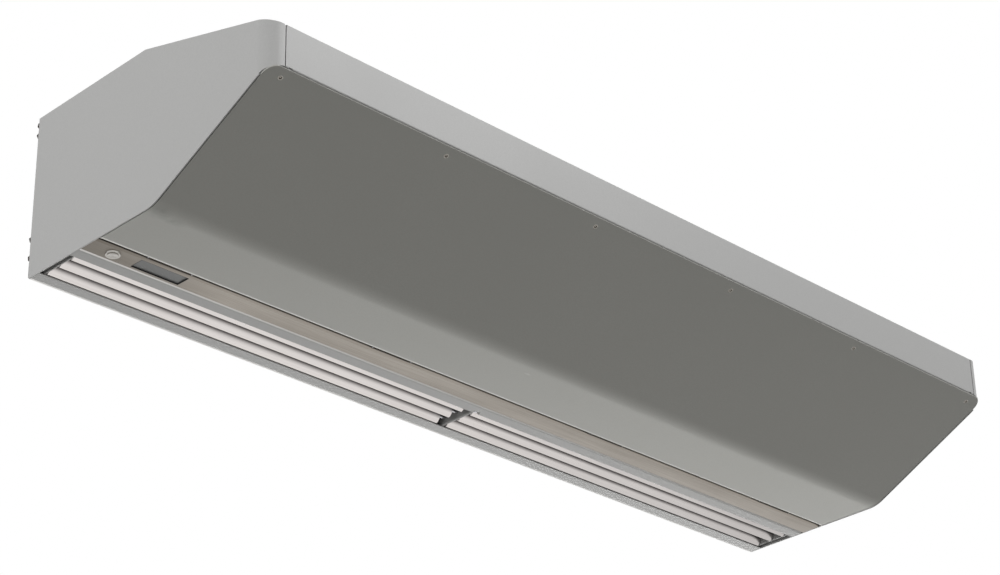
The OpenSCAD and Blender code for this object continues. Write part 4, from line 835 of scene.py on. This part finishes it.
def makeShadeLining(settings):
    x0, x1 = settings["left"], settings["left"] + settings["length"]
    y0, y1 = settings["middle"] - settings["width"] / 2, settings["middle"] + settings["width"] / 2
    wall = settings["wall"]
    work = bmesh.new()
    rings = []
    for inset, level in ((0, "low"), (wall, "low"), (wall, "high"), (0, "high")):
        z = lowest + settings[level]
        corners = [(x0 + inset, y0 + inset, z), (x1 - inset, y0 + inset, z), (x1 - inset, y1 - inset, z),
                   (x0 + inset, y1 - inset, z)]
        rings.append([work.verts.new(corner) for corner in corners])
    for near, far in zip(rings, rings[1:] + rings[:1]):
        for j in range(4):
            k = (j + 1) % 4
            work.faces.new([near[j], near[k], far[k], far[j]])
    bmesh.ops.recalc_face_normals(work, faces=work.faces)
    mesh = bpy.data.meshes.new("windowShadeLining")
    work.to_mesh(mesh)
    work.free()
    # the dark rubber finish is painted shade
    mesh.materials.append(paints["rubber"])
    piece = bpy.data.objects.new("windowShadeLining", mesh)
    scene.collection.objects.link(piece)
    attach(piece, bodyOf["control_strip"])


makeShadeLining(shadeLining)
print("window gasket made")

# Floor, lamps and sky. Only the lamp in front shows in the gloss; the others shape the light and no more.
stage = {
    "floorDrop": 2.1, "floorSize": 14.0, "floorSeen": "#ecebe8", "floorBounce": "#adaca9", "floorLift": 0.35,
    "floorCloud": 3.0, "floorRough": (0.5, 0.6), "sky": 0.1, "seenSky": 1.0,
    "lamps": {
        "front": {"place": (1.0, -3.2, 2.4), "aim": (0.4, -0.3, 0), "size": (3.2, 1.6), "power": 108,
                  "shine": True},
        "left": {"place": (-3.2, -0.4, 0.25), "aim": (-0.6, -0.2, 0), "size": (1.8, 1.8), "power": 52,
                 "shine": False},
        "back": {"place": (2.2, 2.2, -1.1), "aim": (0.3, -0.2, -0.1), "size": (3.0, 1.0), "power": 102,
                 "shine": False},
    },
}


def layFloor(settings):  # matt pale paint: white where metal and smoked sheet mirror it, clear from below
    size = settings["floorSize"] / 2
    level = lowest - settings["floorDrop"]
    mesh = bpy.data.meshes.new("paleFloor")
    corners = [(-size, -size, level), (size, -size, level), (size, size, level), (-size, size, level)]
    mesh.from_pydata(corners, [], [(0, 1, 2, 3)])
    material, tree = startMaterial("paleFloorPaint")
    place = addNode(tree, "ShaderNodeTexCoord").outputs["Object"]
    cloud = addNode(tree, "ShaderNodeTexNoise", {"Vector": place, "Scale": settings["floorCloud"],
                                                "Detail": 3.0})
    rough = addNode(tree, "ShaderNodeMapRange", {"Value": cloud.outputs["Fac"],
                                                "To Min": settings["floorRough"][0],
                                                "To Max": settings["floorRough"][1]})
    path = addNode(tree, "ShaderNodeLightPath")
    mirrored = addNode(tree, "ShaderNodeMath", {0: path.outputs["Is Glossy Ray"],
                                               1: path.outputs["Is Transmission Ray"]}, operation="MAXIMUM")
    pale = addNode(tree, "ShaderNodeMix", {
        "Factor": path.outputs["Is Camera Ray"], "A": linear(settings["floorBounce"]),
        "B": linear(settings["floorSeen"])}, data_type="RGBA")
    lift = addNode(tree, "ShaderNodeMath", {0: path.outputs["Is Camera Ray"], 1: settings["floorLift"]},
                   operation="MULTIPLY")
    paint = addNode(tree, "ShaderNodeBsdfPrincipled", {
        "Base Color": pale.outputs["Result"], "Roughness": rough.outputs["Result"],
        "Emission Color": linear(settings["floorSeen"]), "Emission Strength": lift.outputs[0]})
    white = addNode(tree, "ShaderNodeEmission", {"Strength": 1.0})
    shader = addNode(tree, "ShaderNodeMixShader", {0: mirrored.outputs[0], 1: paint.outputs[0],
                                                  2: white.outputs[0]})
    below = addNode(tree, "ShaderNodeNewGeometry").outputs["Backfacing"]
    clear = addNode(tree, "ShaderNodeBsdfTransparent")
    shader = addNode(tree, "ShaderNodeMixShader", {0: below, 1: shader.outputs[0], 2: clear.outputs[0]})
    closeMaterial(tree, shader)
    mesh.materials.append(material)
    floor = bpy.data.objects.new("paleFloor", mesh)
    scene.collection.objects.link(floor)


def hangLamps(settings):
    for name, lamp in settings["lamps"].items():
        data = bpy.data.lights.new(name + "Lamp", "AREA")
        data.shape = "RECTANGLE"
        data.size, data.size_y = lamp["size"]
        data.energy = lamp["power"]
        light = bpy.data.objects.new(name + "Lamp", data)
        scene.collection.objects.link(light)
        aim = Vector(lamp["aim"]) - Vector(lamp["place"])
        turn = aim.to_track_quat("-Z", "Y").to_matrix().to_4x4()
        light.matrix_world = Matrix.Translation(lamp["place"]) @ turn
        light.visible_camera = False
        light.visible_glossy = lamp["shine"]


def openSky(settings):  # dim to the object, white to the camera and in reflections
    world = bpy.data.worlds.new("whiteSky")
    scene.world = world
    world.use_nodes = True
    tree = world.node_tree
    tree.nodes.clear()
    path = addNode(tree, "ShaderNodeLightPath")
    seen = path.outputs["Is Camera Ray"]
    for ray in ("Is Glossy Ray", "Is Transmission Ray"):
        either = addNode(tree, "ShaderNodeMath", {0: seen, 1: path.outputs[ray]}, operation="MAXIMUM")
        seen = either.outputs[0]
    level = addNode(tree, "ShaderNodeMapRange", {"Value": seen, "To Min": settings["sky"],
                                                "To Max": settings["seenSky"]})
    white = addNode(tree, "ShaderNodeBackground", {"Color": (1, 1, 1, 1),
                                                  "Strength": level.outputs["Result"]})
    addNode(tree, "ShaderNodeOutputWorld", {"Surface": white.outputs[0]})


layFloor(stage)
hangLamps(stage)
openSky(stage)
print("stage laid")
